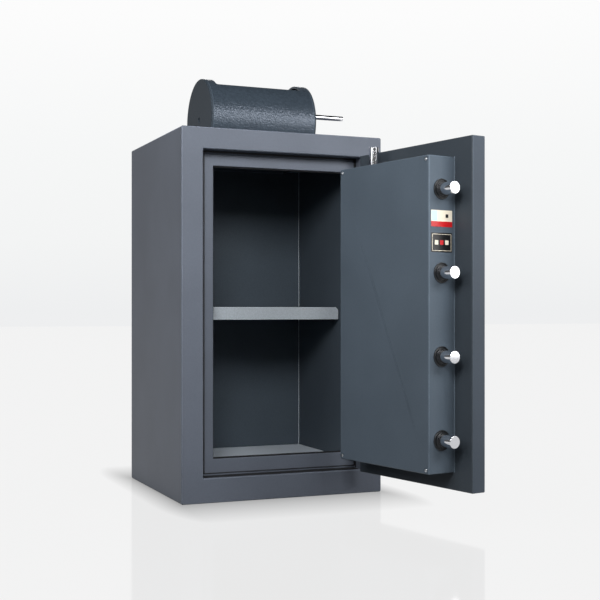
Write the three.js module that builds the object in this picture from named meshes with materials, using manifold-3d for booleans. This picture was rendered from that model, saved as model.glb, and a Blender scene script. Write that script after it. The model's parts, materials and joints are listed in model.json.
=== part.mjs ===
// Drop safe with a rotary deposit hopper, in millimetres, +Z up.
// The origin is the centre of the base. The front faces -Y, and X runs to the right seen from the front.
// The door is modelled closed, in a group whose origin is the hinge axis, and the group is turned open.
import * as THREE from "three";
import { mergeVertices } from "three/addons/utils/BufferGeometryUtils.js";
import Module from "manifold-3d";

const wasm = await Module();
wasm.setup();

// Shared sizes
const TOUCH_GAP = 0.3;
const OVERRUN = 5;
const MERGE_DISTANCE = 0.0001;
const ROUND_SIDES = 24;
const SMALL_SIDES = 12;
const DRUM_SIDES = 64;
const CORNER_STEPS = 3;
const QUARTER_TURN = Math.PI / 2;

// Body: outer plate, front frame, jamb and inner room
const BODY_WIDTH = 536;
const BODY_DEPTH = 480;
const BODY_HEIGHT = 914;
const BODY_EDGE_RADIUS = 4;
const SHELL_WALL = 4;
const FRAME_PLATE = 6;
const FRAME_SIDE = 54.7;
const FRAME_TOP = 51.7;
const FRAME_BOTTOM = 60.5;
const FRAME_EDGE = 1.5;
const RETURN_WALL = 4;
const REBATE_DEPTH = 42;
const SEAL_WIDTH = 6;
const SEAL_RECESS = 1;
const SEAL_HEIGHT = 6;
const JAMB_THICKNESS = 20;
const LIP_FREE_SIDE = 39;
const LIP_HINGE_SIDE = 12;
const LIP_TOP = 35.7;
const LIP_BOTTOM = 40.5;
const WALL_SIDE = 51;
const WALL_BACK = 52.5;
const WALL_BOTTOM = 77;
const WALL_TOP = 44;
const LINER_WALL = 2;

// Shelf: a folded tray turned upside down, on two angle rails
const SHELF_TOP = 477;
const SHELF_SHEET = 2;
const SHELF_SIDE_GAP = 4;
const SHELF_BACK_GAP = 3;
const SHELF_FROM_FRONT = 145;
const SHELF_FRONT_LIP = 32.5;
const SHELF_SIDE_LIP = 22;
const SHELF_CHAMFER = 7;
const RAIL_SHEET = 2;
const RAIL_LEG = 14;
const RAIL_DROP = 9;
const RAIL_INSET = 15;

// Deposit hopper on the roof
const HOPPER_Y = 5;
const HOPPER_RISE = 57;
const HOPPER_RADIUS = 108;
const HOPPER_WALL = 6;
const HOPPER_LENGTH = 292;
const HOPPER_END_PLATE = 6;
const HOPPER_END_EDGE = 1.5;
const MOUTH_BAND = 27.5;
const MOUTH_FRONT_DEG = 54;
const MOUTH_BACK_DEG = 128;
const MOUTH_CORNER = 5;
const DRUM_CLEARANCE = 4;
const DRUM_WALL = 3;
const DRUM_DISC = 4;
const DRUM_LENGTH = 248;
const DRUM_OPEN_DEG = 120;
const DROP_SIDE_GAP = 7;
const DROP_DEPTH_GAP = 10.3;
const CHUTE_WALL = 2;
const CHUTE_DROP = 18;
const CHUTE_FLANGE = 12;
const AXLE_RADIUS = 6.75;
const AXLE_FLANGE_RADIUS = 16;
const AXLE_FLANGE = 4;
const AXLE_RECESS = 2.5;
const AXLE_BORE_GAP = 0.5;
const BEARING_RADIUS = 17;
const BEARING_GAP = 1;
const CRANK_CLEARANCE = 1;
const CRANK_THICKNESS = 6;
const CRANK_LENGTH = 70.4;
const CRANK_RISE_DEG = 14.8;
const CRANK_HUB_RADIUS = 16;
const CRANK_TIP_RADIUS = 11;
const CRANK_AXLE_STANDOUT = 3;
const GRIP_RADIUS = 6.75;
const GRIP_TIP_X = 240;
const GRIP_CHAMFER = 1;
const STOP_PIN_RADIUS = 4;
const STOP_PIN_LENGTH = 9;
const STOP_PATH_RADIUS = 43;
const STOP_BLOCK_HALF_WIDTH = 7;
const STOP_BLOCK_GAP_DEG = 7.5;

// Door: a pan with fill, closed by an inner sheet
const DOOR_OPEN_DEG = 100.5;
const HINGE_SIDE = 21.5;
const HINGE_OUT = 20.6;
const DOOR_GAP_HINGE = 3;
const DOOR_GAP_FREE = 5;
const DOOR_GAP_TOP = 6;
const DOOR_GAP_BOTTOM = 3;
const DOOR_SET_BACK = 1;
const DOOR_THICKNESS = 38;
const DOOR_EDGE = 1.5;
const DOOR_CORNER = 2;
const PAN_PLATE = 8;
const PAN_RIM = 4;
const INNER_SHEET = 3;

// Boltwork box on the inside of the door
const BOX_FREE_INSET = 59;
const BOX_HINGE_INSET = 22;
const BOX_LOW_CLEARANCE = 3.3;
const BOX_TOP_CLEARANCE = 12.8;
const BOX_DEPTH = 75.6;
const BOX_WALL = 3;
const COVER_SHEET = 3;
const SCREW_INSET = 9;
const SCREW_HEAD_RADIUS = 4;
const SCREW_HEAD = 2;
const SCREW_RADIUS = 2.5;
const SCREW_LENGTH = 12;

// Bolts, guides and the parts that drive them
const BOLT_COUNT = 4;
const BOLT_FROM_END = 74.3;
const BOLT_RADIUS = 14.3;
const BOLT_STANDOUT = 45.6;
const BOLT_CHAMFER = 1.2;
const GUIDE_GAP = 0.4;
const GUIDE_FLANGE_RADIUS = 23;
const GUIDE_FLANGE = 2.5;
const GUIDE_GROOVE = 1.5;
const GUIDE_GROOVE_RADIUS = 20.5;
const GUIDE_COLLAR_RADIUS = 18;
const GUIDE_COLLAR = 4;
const GUIDE_SHANK = 16;
const TOP_BOLT_FROM_HINGE_END = 87;
const TOP_BOLT_RADIUS = 11.8;
const TOP_BOLT_STANDOUT = 47;
const TOP_BOLT_LENGTH = 127;
const TOP_GUIDE_RADIUS = 17.5;
const BAR_SETBACK = 24;
const BAR_THICKNESS = 10;
const BAR_HALF_DEPTH = 13;
const BAR_END = 20;
const GEAR_MODULE = 2.5;
const GEAR_PRESSURE_DEG = 20;
const GEAR_BACKLASH = 0.35;
const GEAR_DEDENDUM_SHARE = 1.25;
const BOLT_GEAR_TEETH = 24;
const TOP_GEAR_TEETH = 26;
const GEAR_WIDTH = 8;
const GEAR_SPACE = 1.5;
const RACK_THICKNESS = 6;
const RACK_HEIGHT = 20;
const RACK_TEETH_OUT = 9;
const RACK_TEETH_IN = 2;
const BOLT_THROW = 47;
const TOP_STRIP_WIDTH = 14;
const TOP_STRIP_BELOW = 14;
const TOP_TAB_HEIGHT = 16;
const SPINDLE_RADIUS = 8;
const SPINDLE_END_GAP = 6;
const BUSH_RADIUS = 12;
const HANDLE_HUB_RADIUS = 26;
const HANDLE_HUB = 24;
const HANDLE_HUB_EDGE = 3;
const HANDLE_GAP = 1;
const HANDLE_BORE = 14;
const LEVER_LENGTH = 128;
const LEVER_ROOT_RADIUS = 13;
const LEVER_TIP_RADIUS = 9;
const LEVER_THICKNESS = 14;

// Combination lock
const DIAL_RISE = 120;
const DIAL_RADIUS = 36;
const DIAL_THICKNESS = 7;
const DIAL_KNOB_RADIUS = 20;
const DIAL_KNOB = 18;
const DIAL_GAP = 1;
const DIAL_RING_RADIUS = 46;
const DIAL_RING_HEIGHT = 10;
const DIAL_RING_SEAT = 2;
const DIAL_SPINDLE_RADIUS = 3.5;
const LOCK_WIDTH = 84;
const LOCK_HEIGHT = 96;
const LOCK_THICKNESS = 26;
const LOCK_SPINDLE_DEPTH = 12;
const HARD_PLATE = 5;
const HARD_PLATE_MARGIN = 8;
const LOCK_BOLT_WIDTH = 14;
const LOCK_BOLT_THICKNESS = 5;
const LOCK_BOLT_LENGTH = 40;
const LOCK_BOLT_SIDE = 20;
const LOCK_BOLT_REST_GAP = 1.5;
const LOCK_BOLT_THROW = 9;
const LOCK_SLOT_GAP = 1;
const LOCK_CASE_RISE = 12;
const NOTCH_DEPTH = 10;
const NOTCH_GAP = 1.5;

// Hinges
const HINGE_FROM_END = 137;
const KNUCKLE_RADIUS = 11;
const KNUCKLE_HEIGHT = 45;
const KNUCKLE_GAP = 1;
const PIN_RADIUS = 6;
const PIN_HEAD_RADIUS = 8;
const PIN_HEAD = 3;
const LEAF_THICKNESS = 8;
const BODY_LEAF_REACH = 25;
const BODY_LEAF_BACK = 8;
const DOOR_LEAF_REACH = 85;
const LEAF_BEND = 4;

// Places worked out from the sizes above
const HALF_WIDTH = BODY_WIDTH / 2;
const FRONT_Y = -BODY_DEPTH / 2;
const BACK_Y = BODY_DEPTH / 2;
const REBATE_X = HALF_WIDTH - FRAME_SIDE;
const REBATE_LOW = FRAME_BOTTOM;
const REBATE_HIGH = BODY_HEIGHT - FRAME_TOP;
const JAMB_FRONT = FRONT_Y + REBATE_DEPTH;
const JAMB_BACK = JAMB_FRONT + JAMB_THICKNESS;
const LIP_LEFT = -REBATE_X + LIP_FREE_SIDE;
const LIP_RIGHT = REBATE_X - LIP_HINGE_SIDE;
const LIP_LOW = REBATE_LOW + LIP_BOTTOM;
const LIP_HIGH = REBATE_HIGH - LIP_TOP;
const ROOM_X = HALF_WIDTH - WALL_SIDE;
const ROOM_BACK = BACK_Y - WALL_BACK;
const ROOM_LOW = WALL_BOTTOM;
const ROOM_HIGH = BODY_HEIGHT - WALL_TOP;

const HOPPER_Z = BODY_HEIGHT + HOPPER_RISE;
const HOPPER_HALF = HOPPER_LENGTH / 2;
const HOPPER_FOOT = BODY_HEIGHT + TOUCH_GAP;
const END_INNER_X = HOPPER_HALF - HOPPER_END_PLATE;
const DRUM_RADIUS = HOPPER_RADIUS - HOPPER_WALL - DRUM_CLEARANCE;
const DRUM_HALF = DRUM_LENGTH / 2;
const DROP_HALF_LENGTH = DRUM_HALF + DROP_SIDE_GAP;
const DRUM_HALF_CHORD = Math.sqrt(DRUM_RADIUS ** 2 - HOPPER_RISE ** 2);
const DROP_HALF_DEPTH = DRUM_HALF_CHORD + DROP_DEPTH_GAP;

const HINGE_X = REBATE_X + HINGE_SIDE;
const HINGE_Y = FRONT_Y - HINGE_OUT;
const DOOR_RIGHT = -HINGE_SIDE - DOOR_GAP_HINGE;
const DOOR_LEFT = -HINGE_SIDE - 2 * REBATE_X + DOOR_GAP_FREE;
const DOOR_LOW = REBATE_LOW + DOOR_GAP_BOTTOM;
const DOOR_HIGH = REBATE_HIGH - DOOR_GAP_TOP;
const DOOR_FRONT = HINGE_OUT + DOOR_SET_BACK;
const DOOR_BACK = DOOR_FRONT + DOOR_THICKNESS;
const DOOR_MIDDLE = (DOOR_LEFT + DOOR_RIGHT) / 2;
const SHEET_FRONT = DOOR_BACK - INNER_SHEET;

const BOX_LEFT = DOOR_LEFT + BOX_FREE_INSET;
const BOX_RIGHT = DOOR_RIGHT - BOX_HINGE_INSET;
const BOX_LOW = LIP_LOW + BOX_LOW_CLEARANCE;
const BOX_HIGH = LIP_HIGH - BOX_TOP_CLEARANCE;
const BOX_MIDDLE_Z = (BOX_LOW + BOX_HIGH) / 2;
const BOX_BACK = DOOR_BACK + BOX_DEPTH;
const COVER_FRONT = BOX_BACK - COVER_SHEET;
const BOLT_Y = DOOR_BACK + BOX_DEPTH / 2;
const BOLT_PITCH = (BOX_HIGH - BOX_LOW - 2 * BOLT_FROM_END) / (BOLT_COUNT - 1);
const BAR_LEFT = BOX_LEFT + BAR_SETBACK;
const BAR_RIGHT = BAR_LEFT + BAR_THICKNESS;
const TOP_BOLT_X = BOX_RIGHT - TOP_BOLT_FROM_HINGE_END;

const SPINDLE_X = DOOR_MIDDLE;
const SPINDLE_Z = BOX_MIDDLE_Z;
const BOLT_GEAR_RADIUS = (GEAR_MODULE * BOLT_GEAR_TEETH) / 2;
const TOP_GEAR_RADIUS = (GEAR_MODULE * TOP_GEAR_TEETH) / 2;
const GEAR_DEDENDUM = GEAR_MODULE * GEAR_DEDENDUM_SHARE;
const TOOTH_PITCH = Math.PI * GEAR_MODULE;
const HANDLE_TURN = BOLT_THROW / BOLT_GEAR_RADIUS;
const TOP_BOLT_THROW = HANDLE_TURN * TOP_GEAR_RADIUS;
const BOLT_GEAR_FRONT = BOLT_Y - BAR_HALF_DEPTH;
const TOP_GEAR_FRONT = BOLT_GEAR_FRONT + GEAR_WIDTH + GEAR_SPACE;
const RACK_FRONT = BOLT_GEAR_FRONT + (GEAR_WIDTH - RACK_THICKNESS) / 2;
const TOP_RACK_FRONT = TOP_GEAR_FRONT + (GEAR_WIDTH - RACK_THICKNESS) / 2;
const RACK_LOW = SPINDLE_Z + BOLT_GEAR_RADIUS + GEAR_DEDENDUM;
const RACK_TOP = RACK_LOW + RACK_HEIGHT;
const TOP_STRIP_LEFT = SPINDLE_X + TOP_GEAR_RADIUS + GEAR_DEDENDUM;

const LOCK_X = SPINDLE_X;
const DIAL_Z = SPINDLE_Z + DIAL_RISE;
const LOCK_LOW = RACK_TOP + LOCK_CASE_RISE;
const HARD_PLATE_BACK = DOOR_BACK + TOUCH_GAP + HARD_PLATE;
const LOCK_FRONT = HARD_PLATE_BACK + TOUCH_GAP;
const LOCK_BOLT_X = LOCK_X - LOCK_BOLT_SIDE;
const LOCK_BOLT_LOW = RACK_TOP + LOCK_BOLT_REST_GAP;
const LOCK_BOLT_FRONT = RACK_FRONT + (RACK_THICKNESS - LOCK_BOLT_THICKNESS) / 2;

// Materials
function finish(color, roughness, metalness) {
  return new THREE.MeshStandardMaterial({ color, roughness, metalness });
}
const bodyPaint = finish(0x6b717b, 0.5, 0.25);
const doorPaint = finish(0x55616b, 0.5, 0.25);
const linerPaint = finish(0x2c3239, 0.6, 0.2);
const shelfPaint = finish(0x9aa0a4, 0.6, 0.3);
const hopperPaint = finish(0x4c545d, 0.45, 0.25);
const polishedChrome = finish(0xd8dadd, 0.12, 1);
const plainSteel = finish(0x9a9da1, 0.4, 0.9);
const blackRing = finish(0x15171a, 0.5, 0.2);
const bronze = finish(0x8c6a3c, 0.4, 0.8);
const fillConcrete = finish(0xa7a59e, 0.9, 0);

// Solids from three.js geometry, joined and cut

function solid(geometry) {
  const bare = geometry.index ? geometry.toNonIndexed() : geometry.clone();
  bare.deleteAttribute("normal");
  bare.deleteAttribute("uv");
  const merged = mergeVertices(bare, MERGE_DISTANCE);
  return new wasm.Manifold(
    new wasm.Mesh({
      numProp: 3,
      vertProperties: merged.attributes.position.array,
      triVerts: new Uint32Array(merged.index.array),
    }),
  );
}

function join(first, ...others) {
  return others.reduce((whole, next) => whole.add(next), first);
}

function cut(first, ...tools) {
  return tools.reduce((left, tool) => left.subtract(tool), first);
}

function geometryOf(body) {
  const { vertProperties, triVerts } = body.getMesh();
  const indexed = new THREE.BufferGeometry();
  indexed.setAttribute("position", new THREE.BufferAttribute(vertProperties, 3));
  indexed.setIndex(new THREE.BufferAttribute(triVerts, 1));
  const faceted = indexed.toNonIndexed();
  faceted.computeVertexNormals();
  return faceted;
}

function addPiece(group, name, body, material) {
  const mesh = new THREE.Mesh(geometryOf(body), material);
  mesh.name = name;
  group.add(mesh);
}

// Basic forms, each given by where it starts and ends

function block([x0, x1], [y0, y1], [z0, z1]) {
  const geometry = new THREE.BoxGeometry(x1 - x0, y1 - y0, z1 - z0);
  geometry.translate((x0 + x1) / 2, (y0 + y1) / 2, (z0 + z1) / 2);
  return solid(geometry);
}

function rodX(radius, [x0, x1], y, z, sides = ROUND_SIDES) {
  const geometry = new THREE.CylinderGeometry(radius, radius, x1 - x0, sides);
  geometry.rotateZ(-QUARTER_TURN);
  geometry.translate((x0 + x1) / 2, y, z);
  return solid(geometry);
}

function rodY(radius, x, [y0, y1], z, sides = ROUND_SIDES) {
  const geometry = new THREE.CylinderGeometry(radius, radius, y1 - y0, sides);
  geometry.translate(x, (y0 + y1) / 2, z);
  return solid(geometry);
}

function rodZ(radius, x, y, [z0, z1], sides = ROUND_SIDES) {
  const geometry = new THREE.CylinderGeometry(radius, radius, z1 - z0, sides);
  geometry.rotateX(QUARTER_TURN);
  geometry.translate(x, y, (z0 + z1) / 2);
  return solid(geometry);
}

// A turned piece: its profile is a list of [radius, height], from the axis out and back to it.
function turned(profile, sides = ROUND_SIDES) {
  const points = profile.map(([radius, height]) => new THREE.Vector2(radius, height));
  const geometry = new THREE.LatheGeometry(points, sides);
  geometry.rotateX(QUARTER_TURN);
  return geometry;
}

function pointsShape(points) {
  return new THREE.Shape(points.map(([u, v]) => new THREE.Vector2(u, v)));
}

function roundedRect([u0, u1], [v0, v1], radius) {
  const shape = new THREE.Shape();
  shape.moveTo(u0 + radius, v0);
  shape.lineTo(u1 - radius, v0);
  shape.absarc(u1 - radius, v0 + radius, radius, -QUARTER_TURN, 0, false);
  shape.lineTo(u1, v1 - radius);
  shape.absarc(u1 - radius, v1 - radius, radius, 0, QUARTER_TURN, false);
  shape.lineTo(u0 + radius, v1);
  shape.absarc(u0 + radius, v1 - radius, radius, QUARTER_TURN, Math.PI, false);
  shape.lineTo(u0, v0 + radius);
  shape.absarc(u0 + radius, v0 + radius, radius, Math.PI, Math.PI + QUARTER_TURN, false);
  return shape;
}

function extruded(shape, depth, edge) {
  const options = { depth, steps: 1, curveSegments: CORNER_STEPS, bevelEnabled: false };
  if (edge) {
    options.bevelEnabled = true;
    options.bevelSegments = 2;
    options.bevelThickness = edge;
    options.bevelSize = edge;
    options.bevelOffset = -edge;
    options.depth = depth - 2 * edge;
  }
  const geometry = new THREE.ExtrudeGeometry(shape, options);
  if (edge) geometry.translate(0, 0, edge);
  return geometry;
}

// The shape's two axes become X and Z, and it runs from y0 to y1.
function slabY(shape, [y0, y1], edge = 0) {
  const geometry = extruded(shape, y1 - y0, edge);
  geometry.rotateX(QUARTER_TURN);
  geometry.translate(0, y1, 0);
  return solid(geometry);
}

// The shape's two axes become Y and Z, and it runs from x0 to x1.
function slabX(shape, [x0, x1], edge = 0) {
  const geometry = extruded(shape, x1 - x0, edge);
  const turn = new THREE.Matrix4().makeBasis(
    new THREE.Vector3(0, 1, 0),
    new THREE.Vector3(0, 0, 1),
    new THREE.Vector3(1, 0, 0),
  );
  geometry.applyMatrix4(turn);
  geometry.translate(x0, 0, 0);
  return solid(geometry);
}

function slabZ(shape, [z0, z1]) {
  const geometry = extruded(shape, z1 - z0, 0);
  geometry.translate(0, 0, z0);
  return solid(geometry);
}

// The outline of a flat link with a round end at each of two centres.
function linkShape([u0, v0], radius0, [u1, v1], radius1) {
  const along = Math.atan2(v1 - v0, u1 - u0);
  const lean = Math.acos((radius0 - radius1) / Math.hypot(u1 - u0, v1 - v0));
  const shape = new THREE.Shape();
  shape.absarc(u0, v0, radius0, along + lean, along - lean + 2 * Math.PI, false);
  shape.absarc(u1, v1, radius1, along - lean, along + lean, false);
  return shape;
}

// Body pieces

function dropOpening(grow, [z0, z1]) {
  const halfLength = DROP_HALF_LENGTH + grow;
  const halfDepth = DROP_HALF_DEPTH + grow;
  return block(
    [-halfLength, halfLength],
    [HOPPER_Y - halfDepth, HOPPER_Y + halfDepth],
    [z0, z1],
  );
}

function bodyOutline() {
  return roundedRect([-HALF_WIDTH, HALF_WIDTH], [0, BODY_HEIGHT], BODY_EDGE_RADIUS);
}

function outerShell() {
  const shellFront = FRONT_Y + FRAME_PLATE + TOUCH_GAP;
  const whole = slabY(bodyOutline(), [shellFront, BACK_Y]);
  const inside = block(
    [-HALF_WIDTH + SHELL_WALL, HALF_WIDTH - SHELL_WALL],
    [shellFront - OVERRUN, BACK_Y - SHELL_WALL],
    [SHELL_WALL, BODY_HEIGHT - SHELL_WALL],
  );
  const drop = dropOpening(0, [BODY_HEIGHT - SHELL_WALL - OVERRUN, BODY_HEIGHT + OVERRUN]);
  return cut(whole, inside, drop);
}

function frontFrame() {
  const plateBack = FRONT_Y + FRAME_PLATE;
  const returnBack = JAMB_FRONT - SEAL_WIDTH;
  const outline = bodyOutline();
  outline.holes.push(
    roundedRect([-REBATE_X, REBATE_X], [REBATE_LOW, REBATE_HIGH], DOOR_CORNER),
  );
  const bevelled = slabY(outline, [FRONT_Y, plateBack + OVERRUN], FRAME_EDGE);
  const behind = block(
    [-BODY_WIDTH, BODY_WIDTH],
    [plateBack, plateBack + 2 * OVERRUN],
    [-OVERRUN, BODY_HEIGHT + OVERRUN],
  );
  const returnShape = roundedRect(
    [-REBATE_X - RETURN_WALL, REBATE_X + RETURN_WALL],
    [REBATE_LOW - RETURN_WALL, REBATE_HIGH + RETURN_WALL],
    DOOR_CORNER,
  );
  returnShape.holes.push(
    roundedRect([-REBATE_X, REBATE_X], [REBATE_LOW, REBATE_HIGH], DOOR_CORNER),
  );
  const returnStart = FRONT_Y + FRAME_PLATE / 2;
  return join(cut(bevelled, behind), slabY(returnShape, [returnStart, returnBack]));
}

function doorSeal() {
  const innerX = REBATE_X + SEAL_RECESS;
  const innerLow = REBATE_LOW - SEAL_RECESS;
  const innerHigh = REBATE_HIGH + SEAL_RECESS;
  const ring = roundedRect(
    [-innerX - SEAL_HEIGHT, innerX + SEAL_HEIGHT],
    [innerLow - SEAL_HEIGHT, innerHigh + SEAL_HEIGHT],
    DOOR_CORNER,
  );
  ring.holes.push(roundedRect([-innerX, innerX], [innerLow, innerHigh], DOOR_CORNER));
  return slabY(ring, [JAMB_FRONT - SEAL_WIDTH + TOUCH_GAP, JAMB_FRONT - TOUCH_GAP]);
}

function jambFrame() {
  const outX = HALF_WIDTH - SHELL_WALL - TOUCH_GAP;
  const outLow = SHELL_WALL + TOUCH_GAP;
  const outHigh = BODY_HEIGHT - SHELL_WALL - TOUCH_GAP;
  const ring = roundedRect([-outX, outX], [outLow, outHigh], DOOR_CORNER);
  ring.holes.push(roundedRect([LIP_LEFT, LIP_RIGHT], [LIP_LOW, LIP_HIGH], DOOR_CORNER));
  return slabY(ring, [JAMB_FRONT, JAMB_BACK]);
}

function innerLiner() {
  const front = JAMB_BACK + TOUCH_GAP;
  const whole = block(
    [-ROOM_X - LINER_WALL, ROOM_X + LINER_WALL],
    [front, ROOM_BACK + LINER_WALL],
    [ROOM_LOW - LINER_WALL, ROOM_HIGH + LINER_WALL],
  );
  const room = block([-ROOM_X, ROOM_X], [front - OVERRUN, ROOM_BACK], [ROOM_LOW, ROOM_HIGH]);
  const drop = dropOpening(0, [ROOM_HIGH - OVERRUN, ROOM_HIGH + LINER_WALL + OVERRUN]);
  return cut(whole, room, drop);
}

function wallFill() {
  const front = JAMB_BACK + TOUCH_GAP;
  const outer = SHELL_WALL + TOUCH_GAP;
  const inner = LINER_WALL + TOUCH_GAP;
  const whole = block(
    [-HALF_WIDTH + outer, HALF_WIDTH - outer],
    [front, BACK_Y - outer],
    [outer, BODY_HEIGHT - outer],
  );
  const room = block(
    [-ROOM_X - inner, ROOM_X + inner],
    [front - OVERRUN, ROOM_BACK + inner],
    [ROOM_LOW - inner, ROOM_HIGH + inner],
  );
  return cut(whole, room, dropOpening(0, [ROOM_HIGH, BODY_HEIGHT]));
}

function shelf() {
  const half = ROOM_X - SHELF_SIDE_GAP;
  const front = FRONT_Y + SHELF_FROM_FRONT;
  const back = ROOM_BACK - SHELF_BACK_GAP;
  const outline = (x, top, bottom, chamfer) =>
    pointsShape([
      [-x, bottom],
      [x, bottom],
      [x, top - chamfer],
      [x - chamfer, top],
      [-x + chamfer, top],
      [-x, top - chamfer],
    ]);
  const tray = cut(
    slabY(outline(half, SHELF_TOP, SHELF_TOP - SHELF_SIDE_LIP, SHELF_CHAMFER), [front, back]),
    slabY(
      outline(
        half - SHELF_SHEET,
        SHELF_TOP - SHELF_SHEET,
        SHELF_TOP - SHELF_SIDE_LIP - OVERRUN,
        SHELF_CHAMFER,
      ),
      [front + SHELF_SHEET, back - SHELF_SHEET],
    ),
  );
  const lip = outline(half, SHELF_TOP, SHELF_TOP - SHELF_FRONT_LIP, SHELF_CHAMFER);
  return join(tray, slabY(lip, [front, front + SHELF_SHEET]));
}

// Angle rail under the shelf's side lip; side is -1 for the left wall and 1 for the right.
function shelfRail(side) {
  const wall = ROOM_X - TOUCH_GAP;
  const top = SHELF_TOP - SHELF_SIDE_LIP - TOUCH_GAP;
  const angle = pointsShape([
    [side * (wall - RAIL_LEG), top],
    [side * (wall - RAIL_LEG), top - RAIL_SHEET],
    [side * (wall - RAIL_SHEET), top - RAIL_SHEET],
    [side * (wall - RAIL_SHEET), top - RAIL_DROP],
    [side * wall, top - RAIL_DROP],
    [side * wall, top],
  ]);
  const front = FRONT_Y + SHELF_FROM_FRONT + RAIL_INSET;
  return slabY(angle, [front, ROOM_BACK - RAIL_INSET]);
}

function dropChute() {
  const low = ROOM_HIGH - CHUTE_DROP;
  const sleeve = cut(
    dropOpening(-TOUCH_GAP, [low, BODY_HEIGHT - TOUCH_GAP]),
    dropOpening(-TOUCH_GAP - CHUTE_WALL, [low - OVERRUN, BODY_HEIGHT + OVERRUN]),
  );
  const flangeTop = ROOM_HIGH - TOUCH_GAP;
  const flange = cut(
    dropOpening(CHUTE_FLANGE, [flangeTop - CHUTE_WALL, flangeTop]),
    dropOpening(-TOUCH_GAP - CHUTE_WALL, [low, BODY_HEIGHT]),
  );
  return join(sleeve, flange);
}

// Hopper pieces, in a group on the drum's axis: here Y and Z are measured from that axis.

// A wedge of angles, counted from the front over the top, that reaches past the radius given.
function wedgeShape(fromDeg, toDeg, reach) {
  const shape = new THREE.Shape();
  shape.moveTo(0, 0);
  const start = Math.PI - THREE.MathUtils.degToRad(fromDeg);
  const end = Math.PI - THREE.MathUtils.degToRad(toDeg);
  shape.lineTo(reach * Math.cos(start), reach * Math.sin(start));
  shape.absarc(0, 0, reach, start, end, true);
  return shape;
}

function belowRoof() {
  const reach = HOPPER_RADIUS + OVERRUN;
  const halfLength = HOPPER_HALF + OVERRUN;
  return block([-halfLength, halfLength], [-reach, reach], [-reach, HOPPER_FOOT - HOPPER_Z]);
}

function hopperHousing() {
  const half = END_INNER_X - TOUCH_GAP;
  const pipe = cut(
    rodX(HOPPER_RADIUS, [-half, half], 0, 0, DRUM_SIDES),
    rodX(HOPPER_RADIUS - HOPPER_WALL, [-half - OVERRUN, half + OVERRUN], 0, 0, DRUM_SIDES),
  );
  const mouthHalf = HOPPER_HALF - MOUTH_BAND;
  const edgeAt = (degrees) => -HOPPER_RADIUS * Math.cos(THREE.MathUtils.degToRad(degrees));
  const mouth = roundedRect(
    [-mouthHalf, mouthHalf],
    [edgeAt(MOUTH_FRONT_DEG), edgeAt(MOUTH_BACK_DEG)],
    MOUTH_CORNER,
  );
  return cut(pipe, slabZ(mouth, [0, HOPPER_RADIUS + OVERRUN]), belowRoof());
}

// The end plate's outer edge is eased; side is -1 for the left end and 1 for the right.
function hopperEnd(side) {
  const eased = turned(
    [
      [0, 0],
      [HOPPER_RADIUS, 0],
      [HOPPER_RADIUS, HOPPER_END_PLATE - HOPPER_END_EDGE],
      [HOPPER_RADIUS - HOPPER_END_EDGE, HOPPER_END_PLATE],
      [0, HOPPER_END_PLATE],
    ],
    DRUM_SIDES,
  );
  eased.rotateY(side * QUARTER_TURN);
  eased.translate(side * END_INNER_X, 0, 0);
  const reach = HOPPER_HALF + OVERRUN;
  const bore = rodX(AXLE_RADIUS + AXLE_BORE_GAP, [-reach, reach], 0, 0);
  return cut(solid(eased), bore, belowRoof());
}

function sideSpan(side, near, far) {
  return side < 0 ? [-far, -near] : [near, far];
}

function bearing(side) {
  const near = DRUM_HALF + BEARING_GAP;
  const far = END_INNER_X - TOUCH_GAP;
  const bore = rodX(AXLE_RADIUS + TOUCH_GAP, sideSpan(side, near - OVERRUN, far + OVERRUN), 0, 0);
  return cut(rodX(BEARING_RADIUS, sideSpan(side, near, far), 0, 0), bore);
}

function stopBlock() {
  const inner = STOP_PATH_RADIUS - STOP_BLOCK_HALF_WIDTH;
  const outer = STOP_PATH_RADIUS + STOP_BLOCK_HALF_WIDTH;
  const span = [DRUM_HALF + STOP_PIN_RADIUS, END_INNER_X - TOUCH_GAP];
  const ring = cut(
    rodX(outer, span, 0, 0, ROUND_SIDES),
    rodX(inner, [span[0] - OVERRUN, span[1] + OVERRUN], 0, 0, ROUND_SIDES),
  );
  const open = wedgeShape(-STOP_BLOCK_GAP_DEG, 180 + STOP_BLOCK_GAP_DEG, 2 * outer);
  return cut(ring, slabX(open, [span[0] - OVERRUN, span[1] + OVERRUN]));
}

// The drum is a trough that is open at the top, welded between two discs.
function drum() {
  const wedgeReach = 2 * DRUM_RADIUS;
  const trough = cut(
    rodX(DRUM_RADIUS, [-DRUM_HALF, DRUM_HALF], 0, 0, DRUM_SIDES),
    rodX(DRUM_RADIUS - DRUM_WALL, [-DRUM_HALF + DRUM_DISC, DRUM_HALF - DRUM_DISC], 0, 0, DRUM_SIDES),
    slabX(wedgeShape(90 - DRUM_OPEN_DEG / 2, 90 + DRUM_OPEN_DEG / 2, wedgeReach), [
      -DRUM_HALF + DRUM_DISC,
      DRUM_HALF - DRUM_DISC,
    ]),
  );
  const reach = DRUM_HALF + OVERRUN;
  return cut(trough, rodX(AXLE_RADIUS + TOUCH_GAP, [-reach, reach], 0, 0));
}

function axle(side) {
  const discInner = DRUM_HALF - DRUM_DISC - TOUCH_GAP;
  const crankOuter = HOPPER_HALF + CRANK_CLEARANCE + CRANK_THICKNESS;
  const end = side < 0 ? HOPPER_HALF - AXLE_RECESS : crankOuter + CRANK_AXLE_STANDOUT;
  const flange = rodX(AXLE_FLANGE_RADIUS, sideSpan(side, discInner - AXLE_FLANGE, discInner), 0, 0);
  return join(flange, rodX(AXLE_RADIUS, sideSpan(side, discInner - AXLE_FLANGE, end), 0, 0));
}

function stopPin() {
  const start = DRUM_HALF + TOUCH_GAP;
  return rodX(
    STOP_PIN_RADIUS,
    [start, start + STOP_PIN_LENGTH],
    -STOP_PATH_RADIUS,
    0,
    SMALL_SIDES,
  );
}

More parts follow.
